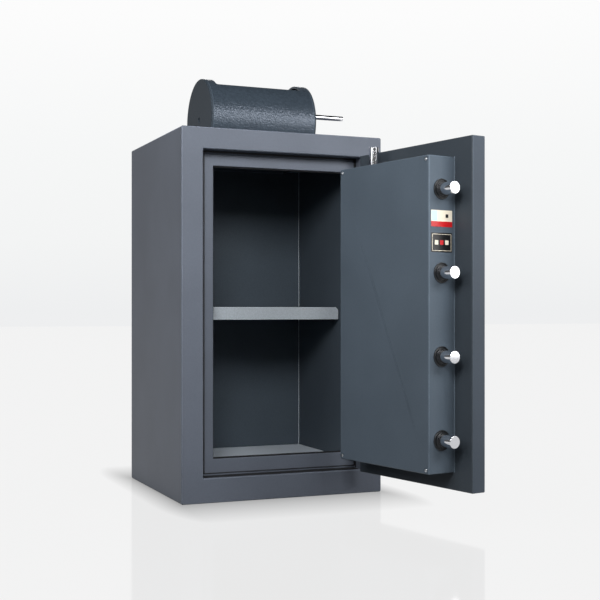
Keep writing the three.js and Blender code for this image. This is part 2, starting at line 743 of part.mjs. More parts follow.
const gripY = -CRANK_LENGTH * Math.cos(THREE.MathUtils.degToRad(CRANK_RISE_DEG));
const gripZ = CRANK_LENGTH * Math.sin(THREE.MathUtils.degToRad(CRANK_RISE_DEG));
const crankSpan = [
  HOPPER_HALF + CRANK_CLEARANCE,
  HOPPER_HALF + CRANK_CLEARANCE + CRANK_THICKNESS,
];

function crankArm() {
  const link = linkShape([0, 0], CRANK_HUB_RADIUS, [gripY, gripZ], CRANK_TIP_RADIUS);
  const bored = [crankSpan[0] - OVERRUN, crankSpan[1] + OVERRUN];
  return cut(
    slabX(link, crankSpan),
    rodX(AXLE_RADIUS + TOUCH_GAP, bored, 0, 0),
    rodX(GRIP_RADIUS + TOUCH_GAP, bored, gripY, gripZ),
  );
}

function crankGrip() {
  const length = GRIP_TIP_X - crankSpan[0];
  const rod = turned([
    [0, 0],
    [GRIP_RADIUS, 0],
    [GRIP_RADIUS, length - GRIP_CHAMFER],
    [GRIP_RADIUS - GRIP_CHAMFER, length],
    [0, length],
  ]);
  rod.rotateY(QUARTER_TURN);
  rod.translate(crankSpan[0], gripY, gripZ);
  return solid(rod);
}

// Door pieces, in the hinge group: X is negative towards the free edge, Y goes into the safe.

function spindleHole(radius) {
  return rodY(radius, SPINDLE_X, [DOOR_FRONT - OVERRUN, DOOR_BACK + OVERRUN], SPINDLE_Z);
}

function dialHole() {
  const radius = DIAL_SPINDLE_RADIUS + TOUCH_GAP;
  const span = [DOOR_FRONT - OVERRUN, HARD_PLATE_BACK + OVERRUN];
  return rodY(radius, LOCK_X, span, DIAL_Z, SMALL_SIDES);
}

function doorPan() {
  const outline = roundedRect([DOOR_LEFT, DOOR_RIGHT], [DOOR_LOW, DOOR_HIGH], DOOR_CORNER);
  const back = SHEET_FRONT - TOUCH_GAP;
  const eased = slabY(outline, [DOOR_FRONT, DOOR_BACK], DOOR_EDGE);
  const behind = block(
    [DOOR_LEFT - OVERRUN, DOOR_RIGHT + OVERRUN],
    [back, DOOR_BACK + OVERRUN],
    [DOOR_LOW - OVERRUN, DOOR_HIGH + OVERRUN],
  );
  const pocket = block(
    [DOOR_LEFT + PAN_RIM, DOOR_RIGHT - PAN_RIM],
    [DOOR_FRONT + PAN_PLATE, DOOR_BACK],
    [DOOR_LOW + PAN_RIM, DOOR_HIGH - PAN_RIM],
  );
  return cut(eased, behind, pocket, spindleHole(BUSH_RADIUS + TOUCH_GAP), dialHole());
}

function doorCore() {
  const rim = PAN_RIM + TOUCH_GAP;
  const fill = block(
    [DOOR_LEFT + rim, DOOR_RIGHT - rim],
    [DOOR_FRONT + PAN_PLATE + TOUCH_GAP, SHEET_FRONT - TOUCH_GAP],
    [DOOR_LOW + rim, DOOR_HIGH - rim],
  );
  return cut(fill, spindleHole(BUSH_RADIUS + TOUCH_GAP), dialHole());
}

function doorInnerSheet() {
  const outline = roundedRect([DOOR_LEFT, DOOR_RIGHT], [DOOR_LOW, DOOR_HIGH], DOOR_CORNER);
  return cut(
    slabY(outline, [SHEET_FRONT, DOOR_BACK]),
    spindleHole(SPINDLE_RADIUS + TOUCH_GAP),
    dialHole(),
  );
}

const boltHeights = Array.from(
  { length: BOLT_COUNT },
  (_, index) => BOX_MIDDLE_Z + ((BOLT_COUNT - 1) / 2 - index) * BOLT_PITCH,
);
const guideHoleRadius = GUIDE_COLLAR_RADIUS + TOUCH_GAP;

function boltBox() {
  const span = [DOOR_BACK + TOUCH_GAP, COVER_FRONT - TOUCH_GAP];
  const walls = roundedRect([BOX_LEFT, BOX_RIGHT], [BOX_LOW, BOX_HIGH], DOOR_CORNER);
  walls.holes.push(
    roundedRect(
      [BOX_LEFT + BOX_WALL, BOX_RIGHT - BOX_WALL],
      [BOX_LOW + BOX_WALL, BOX_HIGH - BOX_WALL],
      DOOR_CORNER,
    ),
  );
  const sideHoles = boltHeights.map((height) =>
    rodX(guideHoleRadius, [BOX_LEFT - OVERRUN, BOX_LEFT + 2 * OVERRUN], BOLT_Y, height),
  );
  const topHole = rodZ(TOP_GUIDE_RADIUS + TOUCH_GAP, TOP_BOLT_X, BOLT_Y, [
    BOX_HIGH - 2 * OVERRUN,
    BOX_HIGH + OVERRUN,
  ]);
  return cut(slabY(walls, span), topHole, ...sideHoles);
}

const screwPlaces = [
  [BOX_LEFT + SCREW_INSET, BOX_HIGH - SCREW_INSET],
  [BOX_RIGHT - SCREW_INSET, BOX_HIGH - SCREW_INSET],
  [BOX_LEFT + SCREW_INSET, BOX_LOW + SCREW_INSET],
  [BOX_RIGHT - SCREW_INSET, BOX_LOW + SCREW_INSET],
];

function boxCover() {
  const sheet = roundedRect([BOX_LEFT, BOX_RIGHT], [BOX_LOW, BOX_HIGH], DOOR_CORNER);
  const holes = screwPlaces.map(([x, z]) =>
    rodY(SCREW_RADIUS + TOUCH_GAP, x, [COVER_FRONT - OVERRUN, BOX_BACK + OVERRUN], z, SMALL_SIDES),
  );
  return cut(slabY(sheet, [COVER_FRONT, BOX_BACK]), ...holes);
}

function coverScrew([x, z]) {
  const seat = BOX_BACK + TOUCH_GAP;
  return join(
    rodY(SCREW_HEAD_RADIUS, x, [seat, seat + SCREW_HEAD], z, SMALL_SIDES),
    rodY(SCREW_RADIUS, x, [seat - SCREW_LENGTH, seat + SCREW_HEAD / 2], z, SMALL_SIDES),
  );
}

// A flanged guide ring with a groove between its flange and its raised collar.
function guideRing(height) {
  const bore = BOLT_RADIUS + GUIDE_GAP;
  const ring = turned([
    [bore, -GUIDE_SHANK],
    [GUIDE_COLLAR_RADIUS, -GUIDE_SHANK],
    [GUIDE_COLLAR_RADIUS, 0],
    [GUIDE_FLANGE_RADIUS, 0],
    [GUIDE_FLANGE_RADIUS, GUIDE_FLANGE],
    [GUIDE_GROOVE_RADIUS, GUIDE_FLANGE],
    [GUIDE_GROOVE_RADIUS, GUIDE_FLANGE - GUIDE_GROOVE],
    [GUIDE_COLLAR_RADIUS, GUIDE_FLANGE - GUIDE_GROOVE],
    [GUIDE_COLLAR_RADIUS, GUIDE_COLLAR],
    [bore, GUIDE_COLLAR],
    [bore, -GUIDE_SHANK],
  ]);
  ring.rotateY(-QUARTER_TURN);
  ring.translate(BOX_LEFT - TOUCH_GAP, BOLT_Y, height);
  return solid(ring);
}

function topGuide() {
  const bore = TOP_BOLT_RADIUS + GUIDE_GAP;
  const ring = turned([
    [bore, -GUIDE_SHANK],
    [TOP_GUIDE_RADIUS, -GUIDE_SHANK],
    [TOP_GUIDE_RADIUS, 0],
    [bore, 0],
    [bore, -GUIDE_SHANK],
  ]);
  ring.translate(TOP_BOLT_X, BOLT_Y, BOX_HIGH);
  return solid(ring);
}

function boltProfile(radius, length) {
  return [
    [0, 0],
    [radius, 0],
    [radius, length - BOLT_CHAMFER],
    [radius - BOLT_CHAMFER, length],
    [0, length],
  ];
}

function sideBolt(height) {
  const length = BOLT_STANDOUT + BAR_SETBACK - TOUCH_GAP;
  const rod = turned(boltProfile(BOLT_RADIUS, length));
  rod.rotateY(-QUARTER_TURN);
  rod.translate(BAR_LEFT - TOUCH_GAP, BOLT_Y, height);
  return solid(rod);
}

// Tooth edge of a rack as [along, out] pairs: teeth point out, one space is centred on zero.
function rackEdge(from, to) {
  const slope = Math.tan(THREE.MathUtils.degToRad(GEAR_PRESSURE_DEG));
  const halfTooth = TOOTH_PITCH / 4 - GEAR_BACKLASH / 2;
  const rootHalf = halfTooth + GEAR_DEDENDUM * slope;
  const tipHalf = halfTooth - GEAR_MODULE * slope;
  const edge = [];
  for (let tooth = from; tooth < to; tooth += 1) {
    const centre = (tooth + 1 / 2) * TOOTH_PITCH;
    edge.push([centre - rootHalf, -GEAR_DEDENDUM]);
    edge.push([centre - tipHalf, GEAR_MODULE]);
    edge.push([centre + tipHalf, GEAR_MODULE]);
    edge.push([centre + rootHalf, -GEAR_DEDENDUM]);
  }
  return edge;
}

// The bolt bar joins the four bolts, and its rack arm reaches over the handle's pinion.
function boltBar() {
  const bar = block(
    [BAR_LEFT, BAR_RIGHT],
    [BOLT_Y - BAR_HALF_DEPTH, BOLT_Y + BAR_HALF_DEPTH],
    [boltHeights[BOLT_COUNT - 1] - BAR_END, boltHeights[0] + BAR_END],
  );
  const pitchLine = SPINDLE_Z + BOLT_GEAR_RADIUS;
  const teeth = rackEdge(-RACK_TEETH_OUT, RACK_TEETH_IN);
  const lower = teeth.map(([along, out]) => [SPINDLE_X + along, pitchLine - out]);
  const armEnd = SPINDLE_X + (RACK_TEETH_IN + 1 / 2) * TOOTH_PITCH;
  const arm = pointsShape([
    [BAR_RIGHT - BAR_THICKNESS / 2, RACK_LOW],
    ...lower,
    [armEnd, RACK_LOW],
    [armEnd, RACK_TOP],
    [BAR_RIGHT - BAR_THICKNESS / 2, RACK_TOP],
  ]);
  const armSpan = [RACK_FRONT, RACK_FRONT + RACK_THICKNESS];
  const halfNotch = LOCK_BOLT_WIDTH / 2 + NOTCH_GAP;
  const notches = [0, BOLT_THROW].map((shift) =>
    block(
      [LOCK_BOLT_X - shift - halfNotch, LOCK_BOLT_X - shift + halfNotch],
      [armSpan[0] - OVERRUN, armSpan[1] + OVERRUN],
      [RACK_TOP - NOTCH_DEPTH, RACK_TOP + OVERRUN],
    ),
  );
  return join(bar, cut(slabY(arm, armSpan), ...notches));
}

// An involute gear outline with one tooth centred on the angle given.
function gearShape(teeth, toothAt) {
  const pitchRadius = (GEAR_MODULE * teeth) / 2;
  const pressure = THREE.MathUtils.degToRad(GEAR_PRESSURE_DEG);
  const baseRadius = pitchRadius * Math.cos(pressure);
  const tipRadius = pitchRadius + GEAR_MODULE;
  const rootRadius = pitchRadius - GEAR_DEDENDUM;
  const involute = (angle) => Math.tan(angle) - angle;
  const halfAtPitch = QUARTER_TURN / teeth - GEAR_BACKLASH / (2 * pitchRadius);
  const halfAt = (radius) =>
    halfAtPitch + involute(pressure) - involute(Math.acos(Math.min(1, baseRadius / radius)));
  const radii = [baseRadius, pitchRadius, tipRadius];
  const points = [];
  const place = (radius, angle) =>
    points.push([radius * Math.cos(angle), radius * Math.sin(angle)]);
  for (let tooth = 0; tooth < teeth; tooth += 1) {
    const centre = toothAt + (tooth * 2 * Math.PI) / teeth;
    place(rootRadius, centre - halfAt(baseRadius));
    radii.forEach((radius) => place(radius, centre - halfAt(radius)));
    [...radii].reverse().forEach((radius) => place(radius, centre + halfAt(radius)));
    place(rootRadius, centre + halfAt(baseRadius));
  }
  return pointsShape(points);
}

// Stepped pinion on the handle spindle: one gear for the bolt bar, one for the top bolt.
function pinion() {
  const boltGear = slabY(gearShape(BOLT_GEAR_TEETH, QUARTER_TURN), [0, GEAR_WIDTH]);
  const topGear = slabY(gearShape(TOP_GEAR_TEETH, 0), [0, GEAR_WIDTH]);
  const rise = TOP_GEAR_FRONT - BOLT_GEAR_FRONT;
  const hub = rodY(2 * SPINDLE_RADIUS, 0, [GEAR_WIDTH / 2, rise + GEAR_WIDTH / 2], 0);
  const bore = rodY(SPINDLE_RADIUS + TOUCH_GAP, 0, [-OVERRUN, rise + GEAR_WIDTH + OVERRUN], 0);
  const pair = cut(join(boltGear, topGear.translate([0, rise, 0]), hub), bore);
  return pair.translate([SPINDLE_X, BOLT_GEAR_FRONT, SPINDLE_Z]);
}

const topBoltLow = BOX_HIGH + TOP_BOLT_STANDOUT - TOP_BOLT_LENGTH;

function topBolt() {
  const rod = turned(boltProfile(TOP_BOLT_RADIUS, TOP_BOLT_LENGTH));
  rod.translate(TOP_BOLT_X, BOLT_Y, topBoltLow);
  return solid(rod);
}

// The top bolt's strip: a rack beside the pinion, and a tab under the bolt.
function topBoltBar() {
  const pitchLine = SPINDLE_X + TOP_GEAR_RADIUS;
  const teeth = rackEdge(-RACK_TEETH_IN, RACK_TEETH_OUT);
  const edge = teeth.map(([along, out]) => [pitchLine - out, SPINDLE_Z + along]).reverse();
  const right = TOP_STRIP_LEFT + TOP_STRIP_WIDTH;
  const low = SPINDLE_Z - RACK_TEETH_IN * TOOTH_PITCH - TOP_STRIP_BELOW;
  const high = topBoltLow - TOUCH_GAP;
  const strip = pointsShape([
    [TOP_STRIP_LEFT, low],
    [right, low],
    [right, high - TOP_TAB_HEIGHT],
    [TOP_BOLT_X + TOP_BOLT_RADIUS, high - TOP_TAB_HEIGHT],
    [TOP_BOLT_X + TOP_BOLT_RADIUS, high],
    [TOP_STRIP_LEFT, high],
    ...edge,
  ]);
  return slabY(strip, [TOP_RACK_FRONT, TOP_RACK_FRONT + RACK_THICKNESS]);
}

function spindle() {
  const front = DOOR_FRONT - HANDLE_GAP - HANDLE_BORE + TOUCH_GAP;
  return rodY(SPINDLE_RADIUS, SPINDLE_X, [front, COVER_FRONT - SPINDLE_END_GAP], SPINDLE_Z);
}

function spindleBush() {
  const span = [DOOR_FRONT + TOUCH_GAP, SHEET_FRONT - TOUCH_GAP];
  return cut(
    rodY(BUSH_RADIUS, SPINDLE_X, span, SPINDLE_Z),
    spindleHole(SPINDLE_RADIUS + TOUCH_GAP),
  );
}

// Lever handle: at rest the lever points at the hinge side, and it turns down to draw the bolts.
function handle() {
  const seat = DOOR_FRONT - HANDLE_GAP;
  const hubProfile = turned([
    [0, 0],
    [HANDLE_HUB_RADIUS, 0],
    [HANDLE_HUB_RADIUS, HANDLE_HUB - HANDLE_HUB_EDGE],
    [HANDLE_HUB_RADIUS - HANDLE_HUB_EDGE, HANDLE_HUB],
    [0, HANDLE_HUB],
  ]);
  hubProfile.rotateX(QUARTER_TURN);
  hubProfile.translate(SPINDLE_X, seat, SPINDLE_Z);
  const lever = linkShape(
    [SPINDLE_X, SPINDLE_Z],
    LEVER_ROOT_RADIUS,
    [SPINDLE_X + LEVER_LENGTH, SPINDLE_Z],
    LEVER_TIP_RADIUS,
  );
  const leverBack = seat - HANDLE_HUB + LEVER_THICKNESS + HANDLE_HUB_EDGE;
  const bore = rodY(
    SPINDLE_RADIUS + TOUCH_GAP,
    SPINDLE_X,
    [seat - HANDLE_BORE, seat + OVERRUN],
    SPINDLE_Z,
  );
  const arm = slabY(lever, [leverBack - LEVER_THICKNESS, leverBack], HANDLE_HUB_EDGE);
  return cut(join(solid(hubProfile), arm), bore);
}

function dialRing() {
  const seat = DOOR_FRONT - TOUCH_GAP;
  const ring = turned([
    [DIAL_SPINDLE_RADIUS + DIAL_GAP, 0],
    [DIAL_RING_RADIUS, 0],
    [DIAL_RING_RADIUS - DIAL_RING_SEAT, DIAL_RING_HEIGHT],
    [DIAL_RADIUS + DIAL_GAP, DIAL_RING_HEIGHT],
    [DIAL_RADIUS + DIAL_GAP, DIAL_RING_SEAT],
    [DIAL_SPINDLE_RADIUS + DIAL_GAP, DIAL_RING_SEAT],
    [DIAL_SPINDLE_RADIUS + DIAL_GAP, 0],
  ]);
  ring.rotateX(QUARTER_TURN);
  ring.translate(LOCK_X, seat, DIAL_Z);
  return solid(ring);
}

const dialBack = DOOR_FRONT - TOUCH_GAP - DIAL_RING_SEAT - DIAL_GAP;

function dial() {
  const knob = turned([
    [0, 0],
    [DIAL_RADIUS, 0],
    [DIAL_RADIUS - DIAL_RING_SEAT, DIAL_THICKNESS],
    [DIAL_KNOB_RADIUS, DIAL_THICKNESS],
    [DIAL_KNOB_RADIUS - DIAL_RING_SEAT, DIAL_THICKNESS + DIAL_KNOB],
    [0, DIAL_THICKNESS + DIAL_KNOB],
  ]);
  knob.rotateX(QUARTER_TURN);
  knob.translate(LOCK_X, dialBack, DIAL_Z);
  return solid(knob);
}

function dialSpindle() {
  const span = [dialBack + TOUCH_GAP, LOCK_FRONT + LOCK_SPINDLE_DEPTH];
  return rodY(DIAL_SPINDLE_RADIUS, LOCK_X, span, DIAL_Z, SMALL_SIDES);
}

const lockSpan = [LOCK_X - LOCK_WIDTH / 2, LOCK_X + LOCK_WIDTH / 2];

function lockCase() {
  const whole = block(
    lockSpan,
    [LOCK_FRONT, LOCK_FRONT + LOCK_THICKNESS],
    [LOCK_LOW, LOCK_LOW + LOCK_HEIGHT],
  );
  const spindleEnd = LOCK_FRONT + LOCK_SPINDLE_DEPTH + DIAL_GAP;
  const spindleBore = rodY(
    DIAL_SPINDLE_RADIUS + TOUCH_GAP,
    LOCK_X,
    [LOCK_FRONT - OVERRUN, spindleEnd],
    DIAL_Z,
    SMALL_SIDES,
  );
  const halfSlot = LOCK_BOLT_WIDTH / 2 + LOCK_SLOT_GAP;
  const slot = block(
    [LOCK_BOLT_X - halfSlot, LOCK_BOLT_X + halfSlot],
    [LOCK_BOLT_FRONT - LOCK_SLOT_GAP, LOCK_BOLT_FRONT + LOCK_BOLT_THICKNESS + LOCK_SLOT_GAP],
    [LOCK_LOW - OVERRUN, LOCK_BOLT_LOW + LOCK_BOLT_LENGTH + LOCK_SLOT_GAP],
  );
  return cut(whole, spindleBore, slot);
}

function hardPlate() {
  const plate = block(
    [lockSpan[0] - HARD_PLATE_MARGIN, lockSpan[1] + HARD_PLATE_MARGIN],
    [DOOR_BACK + TOUCH_GAP, HARD_PLATE_BACK],
    [LOCK_LOW - HARD_PLATE_MARGIN, LOCK_LOW + LOCK_HEIGHT + HARD_PLATE_MARGIN],
  );
  return cut(plate, dialHole());
}

function lockBolt() {
  return block(
    [LOCK_BOLT_X - LOCK_BOLT_WIDTH / 2, LOCK_BOLT_X + LOCK_BOLT_WIDTH / 2],
    [LOCK_BOLT_FRONT, LOCK_BOLT_FRONT + LOCK_BOLT_THICKNESS],
    [LOCK_BOLT_LOW, LOCK_BOLT_LOW + LOCK_BOLT_LENGTH],
  );
}

// Hinges: the lower knuckle and its leaf are on the body, the upper ones on the door.

function pinHole(middle) {
  const reach = KNUCKLE_HEIGHT + OVERRUN;
  return rodZ(PIN_RADIUS + TOUCH_GAP, 0, 0, [middle - reach, middle + reach]);
}

function bodyLeaf(middle) {
  const span = [middle - KNUCKLE_HEIGHT, middle - KNUCKLE_GAP / 2];
  const face = HINGE_OUT - TOUCH_GAP;
  const leaf = pointsShape([
    [-BODY_LEAF_BACK, 0],
    [BODY_LEAF_BACK, 0],
    [BODY_LEAF_BACK, face - LEAF_THICKNESS],
    [BODY_LEAF_REACH, face - LEAF_THICKNESS],
    [BODY_LEAF_REACH, face],
    [-BODY_LEAF_BACK, face],
  ]);
  return cut(join(rodZ(KNUCKLE_RADIUS, 0, 0, span), slabZ(leaf, span)), pinHole(middle));
}

function doorLeaf(middle) {
  const span = [middle + KNUCKLE_GAP / 2, middle + KNUCKLE_HEIGHT];
  const face = DOOR_FRONT - TOUCH_GAP;
  const leaf = pointsShape([
    [-DOOR_LEAF_REACH, face - LEAF_THICKNESS],
    [-HINGE_SIDE + LEAF_BEND, face - LEAF_THICKNESS],
    [-KNUCKLE_RADIUS, 0],
    [0, 0],
    [0, KNUCKLE_RADIUS],
    [-HINGE_SIDE + LEAF_BEND / 2, HINGE_OUT - LEAF_BEND / 2],
    [DOOR_RIGHT - LEAF_BEND, face],
    [-DOOR_LEAF_REACH, face],
  ]);
  return cut(join(rodZ(KNUCKLE_RADIUS, 0, 0, span), slabZ(leaf, span)), pinHole(middle));
}

function hingePin(middle) {
  const top = middle + KNUCKLE_HEIGHT + TOUCH_GAP;
  const bottom = middle - KNUCKLE_HEIGHT - TOUCH_GAP;
  return join(
    rodZ(PIN_RADIUS, 0, 0, [bottom, top]),
    rodZ(PIN_HEAD_RADIUS, 0, 0, [top, top + PIN_HEAD]),
    rodZ(PIN_HEAD_RADIUS, 0, 0, [bottom - PIN_HEAD, bottom]),
  );
}

const hingeHeights = {
  lower: DOOR_LOW + HINGE_FROM_END,
  upper: DOOR_HIGH - HINGE_FROM_END,
};

// The assembly

const safe = new THREE.Group();

const body = new THREE.Group();
safe.add(body);
addPiece(body, "outer_shell", outerShell(), bodyPaint);
addPiece(body, "front_frame", frontFrame(), bodyPaint);
addPiece(body, "door_seal", doorSeal(), blackRing);
addPiece(body, "jamb_frame", jambFrame(), bodyPaint);
addPiece(body, "inner_liner", innerLiner(), linerPaint);
addPiece(body, "wall_fill", wallFill(), fillConcrete);
addPiece(body, "shelf", shelf(), shelfPaint);
addPiece(body, "shelf_rail_left", shelfRail(-1), linerPaint);
addPiece(body, "shelf_rail_right", shelfRail(1), linerPaint);
addPiece(body, "drop_chute", dropChute(), linerPaint);

const hopper = new THREE.Group();
hopper.position.set(0, HOPPER_Y, HOPPER_Z);
safe.add(hopper);
addPiece(hopper, "hopper_housing", hopperHousing(), hopperPaint);
addPiece(hopper, "hopper_end_left", hopperEnd(-1), hopperPaint);
addPiece(hopper, "hopper_end_right", hopperEnd(1), hopperPaint);
addPiece(hopper, "drum_bearing_left", bearing(-1), bronze);
addPiece(hopper, "drum_bearing_right", bearing(1), bronze);
addPiece(hopper, "drum_stop_block", stopBlock(), plainSteel);
addPiece(hopper, "drum", drum(), hopperPaint);
addPiece(hopper, "drum_axle_left", axle(-1), plainSteel);
addPiece(hopper, "drum_axle_right", axle(1), plainSteel);
addPiece(hopper, "drum_stop_pin", stopPin(), plainSteel);
addPiece(hopper, "crank_arm", crankArm(), hopperPaint);
addPiece(hopper, "crank_grip", crankGrip(), polishedChrome);

const hingeLine = new THREE.Group();
hingeLine.position.set(HINGE_X, HINGE_Y, 0);
safe.add(hingeLine);
const door = new THREE.Group();
door.rotation.z = THREE.MathUtils.degToRad(DOOR_OPEN_DEG);
hingeLine.add(door);

Object.entries(hingeHeights).forEach(([place, middle]) => {
  addPiece(hingeLine, "hinge_body_leaf_" + place, bodyLeaf(middle), bodyPaint);
  addPiece(hingeLine, "hinge_pin_" + place, hingePin(middle), plainSteel);
  addPiece(door, "hinge_door_leaf_" + place, doorLeaf(middle), doorPaint);
});

addPiece(door, "door_pan", doorPan(), doorPaint);
addPiece(door, "door_core", doorCore(), fillConcrete);
addPiece(door, "door_inner_sheet", doorInnerSheet(), doorPaint);
addPiece(door, "bolt_box", boltBox(), doorPaint);
addPiece(door, "box_cover", boxCover(), doorPaint);
screwPlaces.forEach((place, index) => {
  addPiece(door, "cover_screw_" + (index + 1), coverScrew(place), plainSteel);
});
boltHeights.forEach((height, index) => {
  addPiece(door, "bolt_guide_" + (index + 1), guideRing(height), blackRing);
  addPiece(door, "side_bolt_" + (index + 1), sideBolt(height), polishedChrome);
});
addPiece(door, "top_bolt_guide", topGuide(), blackRing);
addPiece(door, "bolt_bar", boltBar(), plainSteel);
addPiece(door, "top_bolt", topBolt(), polishedChrome);
addPiece(door, "top_bolt_bar", topBoltBar(), plainSteel);
addPiece(door, "handle_spindle", spindle(), plainSteel);
addPiece(door, "handle_pinion", pinion(), plainSteel);
addPiece(door, "spindle_bush", spindleBush(), bronze);
addPiece(door, "handle", handle(), polishedChrome);
addPiece(door, "dial_ring", dialRing(), plainSteel);
addPiece(door, "dial", dial(), blackRing);
addPiece(door, "dial_spindle", dialSpindle(), plainSteel);
addPiece(door, "hard_plate", hardPlate(), plainSteel);
addPiece(door, "lock_case", lockCase(), bronze);
addPiece(door, "lock_bolt", lockBolt(), plainSteel);

export default safe;
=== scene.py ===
# %% [markdown]
# # A drop safe with a rotary deposit hopper
# The safe is a welded steel box with a thick hinged door. The door stands open, so its bolts and the shelf
# show. On the roof sits a horizontal drum in a pipe housing: a deposit goes in at the mouth, and a crank
# drops it inside. The solids come in as a fixed frame. This file gives them their finishes, and makes the
# finer pieces around them.

# %% Imports and the fixed frame
import json
from math import cos, pi, radians, sin

import bmesh
import bpy
from mathutils import Matrix, Vector
from mathutils.geometry import tessellate_polygon


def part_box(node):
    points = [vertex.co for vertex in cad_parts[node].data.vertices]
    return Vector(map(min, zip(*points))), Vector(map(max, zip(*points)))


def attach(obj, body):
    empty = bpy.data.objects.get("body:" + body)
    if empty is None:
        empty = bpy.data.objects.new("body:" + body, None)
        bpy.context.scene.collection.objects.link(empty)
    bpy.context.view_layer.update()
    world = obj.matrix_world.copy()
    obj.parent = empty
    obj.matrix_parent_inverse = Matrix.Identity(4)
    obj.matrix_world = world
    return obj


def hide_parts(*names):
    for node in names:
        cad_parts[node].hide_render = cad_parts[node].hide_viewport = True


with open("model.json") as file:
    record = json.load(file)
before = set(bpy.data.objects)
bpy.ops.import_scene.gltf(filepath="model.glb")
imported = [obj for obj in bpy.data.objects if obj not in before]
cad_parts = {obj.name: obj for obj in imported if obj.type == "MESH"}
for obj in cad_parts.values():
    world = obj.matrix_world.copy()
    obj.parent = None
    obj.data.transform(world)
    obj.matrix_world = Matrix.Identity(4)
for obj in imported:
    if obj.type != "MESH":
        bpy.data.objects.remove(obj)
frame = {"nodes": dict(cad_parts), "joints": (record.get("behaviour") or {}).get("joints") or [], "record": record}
nodes = frame["nodes"]
joints = {joint["name"]: joint for joint in frame["joints"]}
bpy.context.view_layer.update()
MM = 0.001


def new_object(name, data):
    """A new object in the scene."""
    thing = bpy.data.objects.new(name, data)
    bpy.context.scene.collection.objects.link(thing)
    return thing


# %% [markdown]
# ## Camera
# The photograph was taken from the left, at about half the safe's height, with the camera held level.
# A level camera keeps upright edges upright, so the framing is set by a small lens shift instead of a tilt.
# The place and the lens were worked out from the edges of the body and the door.

# %% Camera
CAMERA_PLACE = Vector((-1066.5, -2878.6, 469)) * MM
CAMERA_YAW_DEG = 22.77
FRAME_PIXELS = 600
FOCAL_PIXELS = 1140
HORIZON_PIXEL = 310.2
SENSOR_MM = 36

camera = new_object("camera", bpy.data.cameras.new("camera"))
camera.location = CAMERA_PLACE
camera.rotation_euler = (pi / 2, 0, -radians(CAMERA_YAW_DEG))
camera.data.sensor_width = SENSOR_MM
camera.data.lens = SENSOR_MM * FOCAL_PIXELS / FRAME_PIXELS
camera.data.shift_y = (HORIZON_PIXEL - FRAME_PIXELS / 2) / FRAME_PIXELS
bpy.context.scene.camera = camera
print("lens", round(camera.data.lens, 1), "mm")

# %% [markdown]
# ## Colours and nodes
# Colours are written as the hex values that a colour picker shows, and one function turns them to linear
# light. One more function adds a node, and every tree below is built with it: a node's settings are
# attributes, and each socket takes a number, another node's output, or a whole node, which stands for its
# first output.

# %% Colour and node helpers
SRGB_CUT, SRGB_SLOPE, SRGB_SHIFT, SRGB_POWER = 0.04045, 12.92, 0.055, 2.4


def colour(hex_value):
    """Linear colour of an sRGB hex value such as "6b7079"."""
    channels = [int(hex_value[i:i + 2], 16) / 255 for i in (0, 2, 4)]
    return (*[c / SRGB_SLOPE if c <= SRGB_CUT else ((c + SRGB_SHIFT) / (1 + SRGB_SHIFT)) ** SRGB_POWER
              for c in channels], 1)


def add_node(tree, kind, sockets=None, **settings):
    """Adds a node, with its settings, and each socket set to a value or linked to an output or a node."""
    node = tree.nodes.new(kind)
    for name, value in settings.items():
        setattr(node, name, value)
    for key, value in (sockets or {}).items():
        if isinstance(value, bpy.types.Node):
            tree.links.new(value.outputs[0], node.inputs[key])
        elif isinstance(value, bpy.types.NodeSocket):
            tree.links.new(value, node.inputs[key])
        else:
            node.inputs[key].default_value = value
    return node


def new_material(name):
    """An empty node material and its tree."""
    material = bpy.data.materials.new(name)
    material.use_nodes = True
    material.node_tree.nodes.clear()
    return material, material.node_tree


print("white is", colour("ffffff")[0], "and mid grey", round(colour("808080")[0], 3))

# %% A pattern at a real size, and the end of a tree
def noise_at(tree, size_mm, detail=2.0):
    """A noise whose blobs are size_mm across, on the piece's own Object coordinates."""
    place = add_node(tree, "ShaderNodeTexCoord").outputs["Object"]
    sockets = {"Vector": place, "Scale": 1 / (size_mm * MM), "Detail": detail}
    return add_node(tree, "ShaderNodeTexNoise", sockets)


def end_in_surface(tree, base_hex, level, roughness, normal, more):
    """Ends a tree in one surface: a colour made darker or lighter by level, and more sockets by name."""
    shades = {0: colour(base_hex)[:3], "Scale": level}
    base = add_node(tree, "ShaderNodeVectorMath", shades, operation="SCALE")
    sockets = {"Base Color": base, "Roughness": roughness, "Normal": normal, **more}
    shader = add_node(tree, "ShaderNodeBsdfPrincipled", sockets)
    add_node(tree, "ShaderNodeOutputMaterial", {"Surface": shader})


print("a noise 1 mm across has a scale of", round(1 / MM))

# %% [markdown]
# ## Studio
# The photograph's studio is white all round, with a large soft light above the front and a glossy white
# floor. White comes from the floor's and the world's own colour where the camera looks at them, and not
# from more light, so the grey paint keeps its colour. Mirror rays see the same white near the floor and a
# dim ceiling above it, as in a real studio, so that chrome shows both light and dark. The white hangs
# behind the safe, so a face that mirrors the room's other end gets no white veil.

# %% World
WORLD_LIGHT = 0.34
# Each stop is the height of a ray, as the sine of its angle above the horizon, and its grey.
BACKDROP_STOPS = ((-0.06, "eeeeef"), (0.0, "eeeff0"), (0.06, "f3f4f4"), (0.14, "f6f7f7"), (0.25, "fcfcfc"))
MIRROR_STOPS = ((-0.2, "e8e8e8"), (0.3, "f0f0f0"), (0.5, "8a8d90"), (0.8, "4c4f52"))
# The white backdrop stands behind the safe. A mirror that looks away from it sees the studio's dim end.
BACKDROP_WAY = (0.4, 0.92, 0.0)
BACKDROP_EDGES = (0.5, 0.95)
DIM_END = 0.15


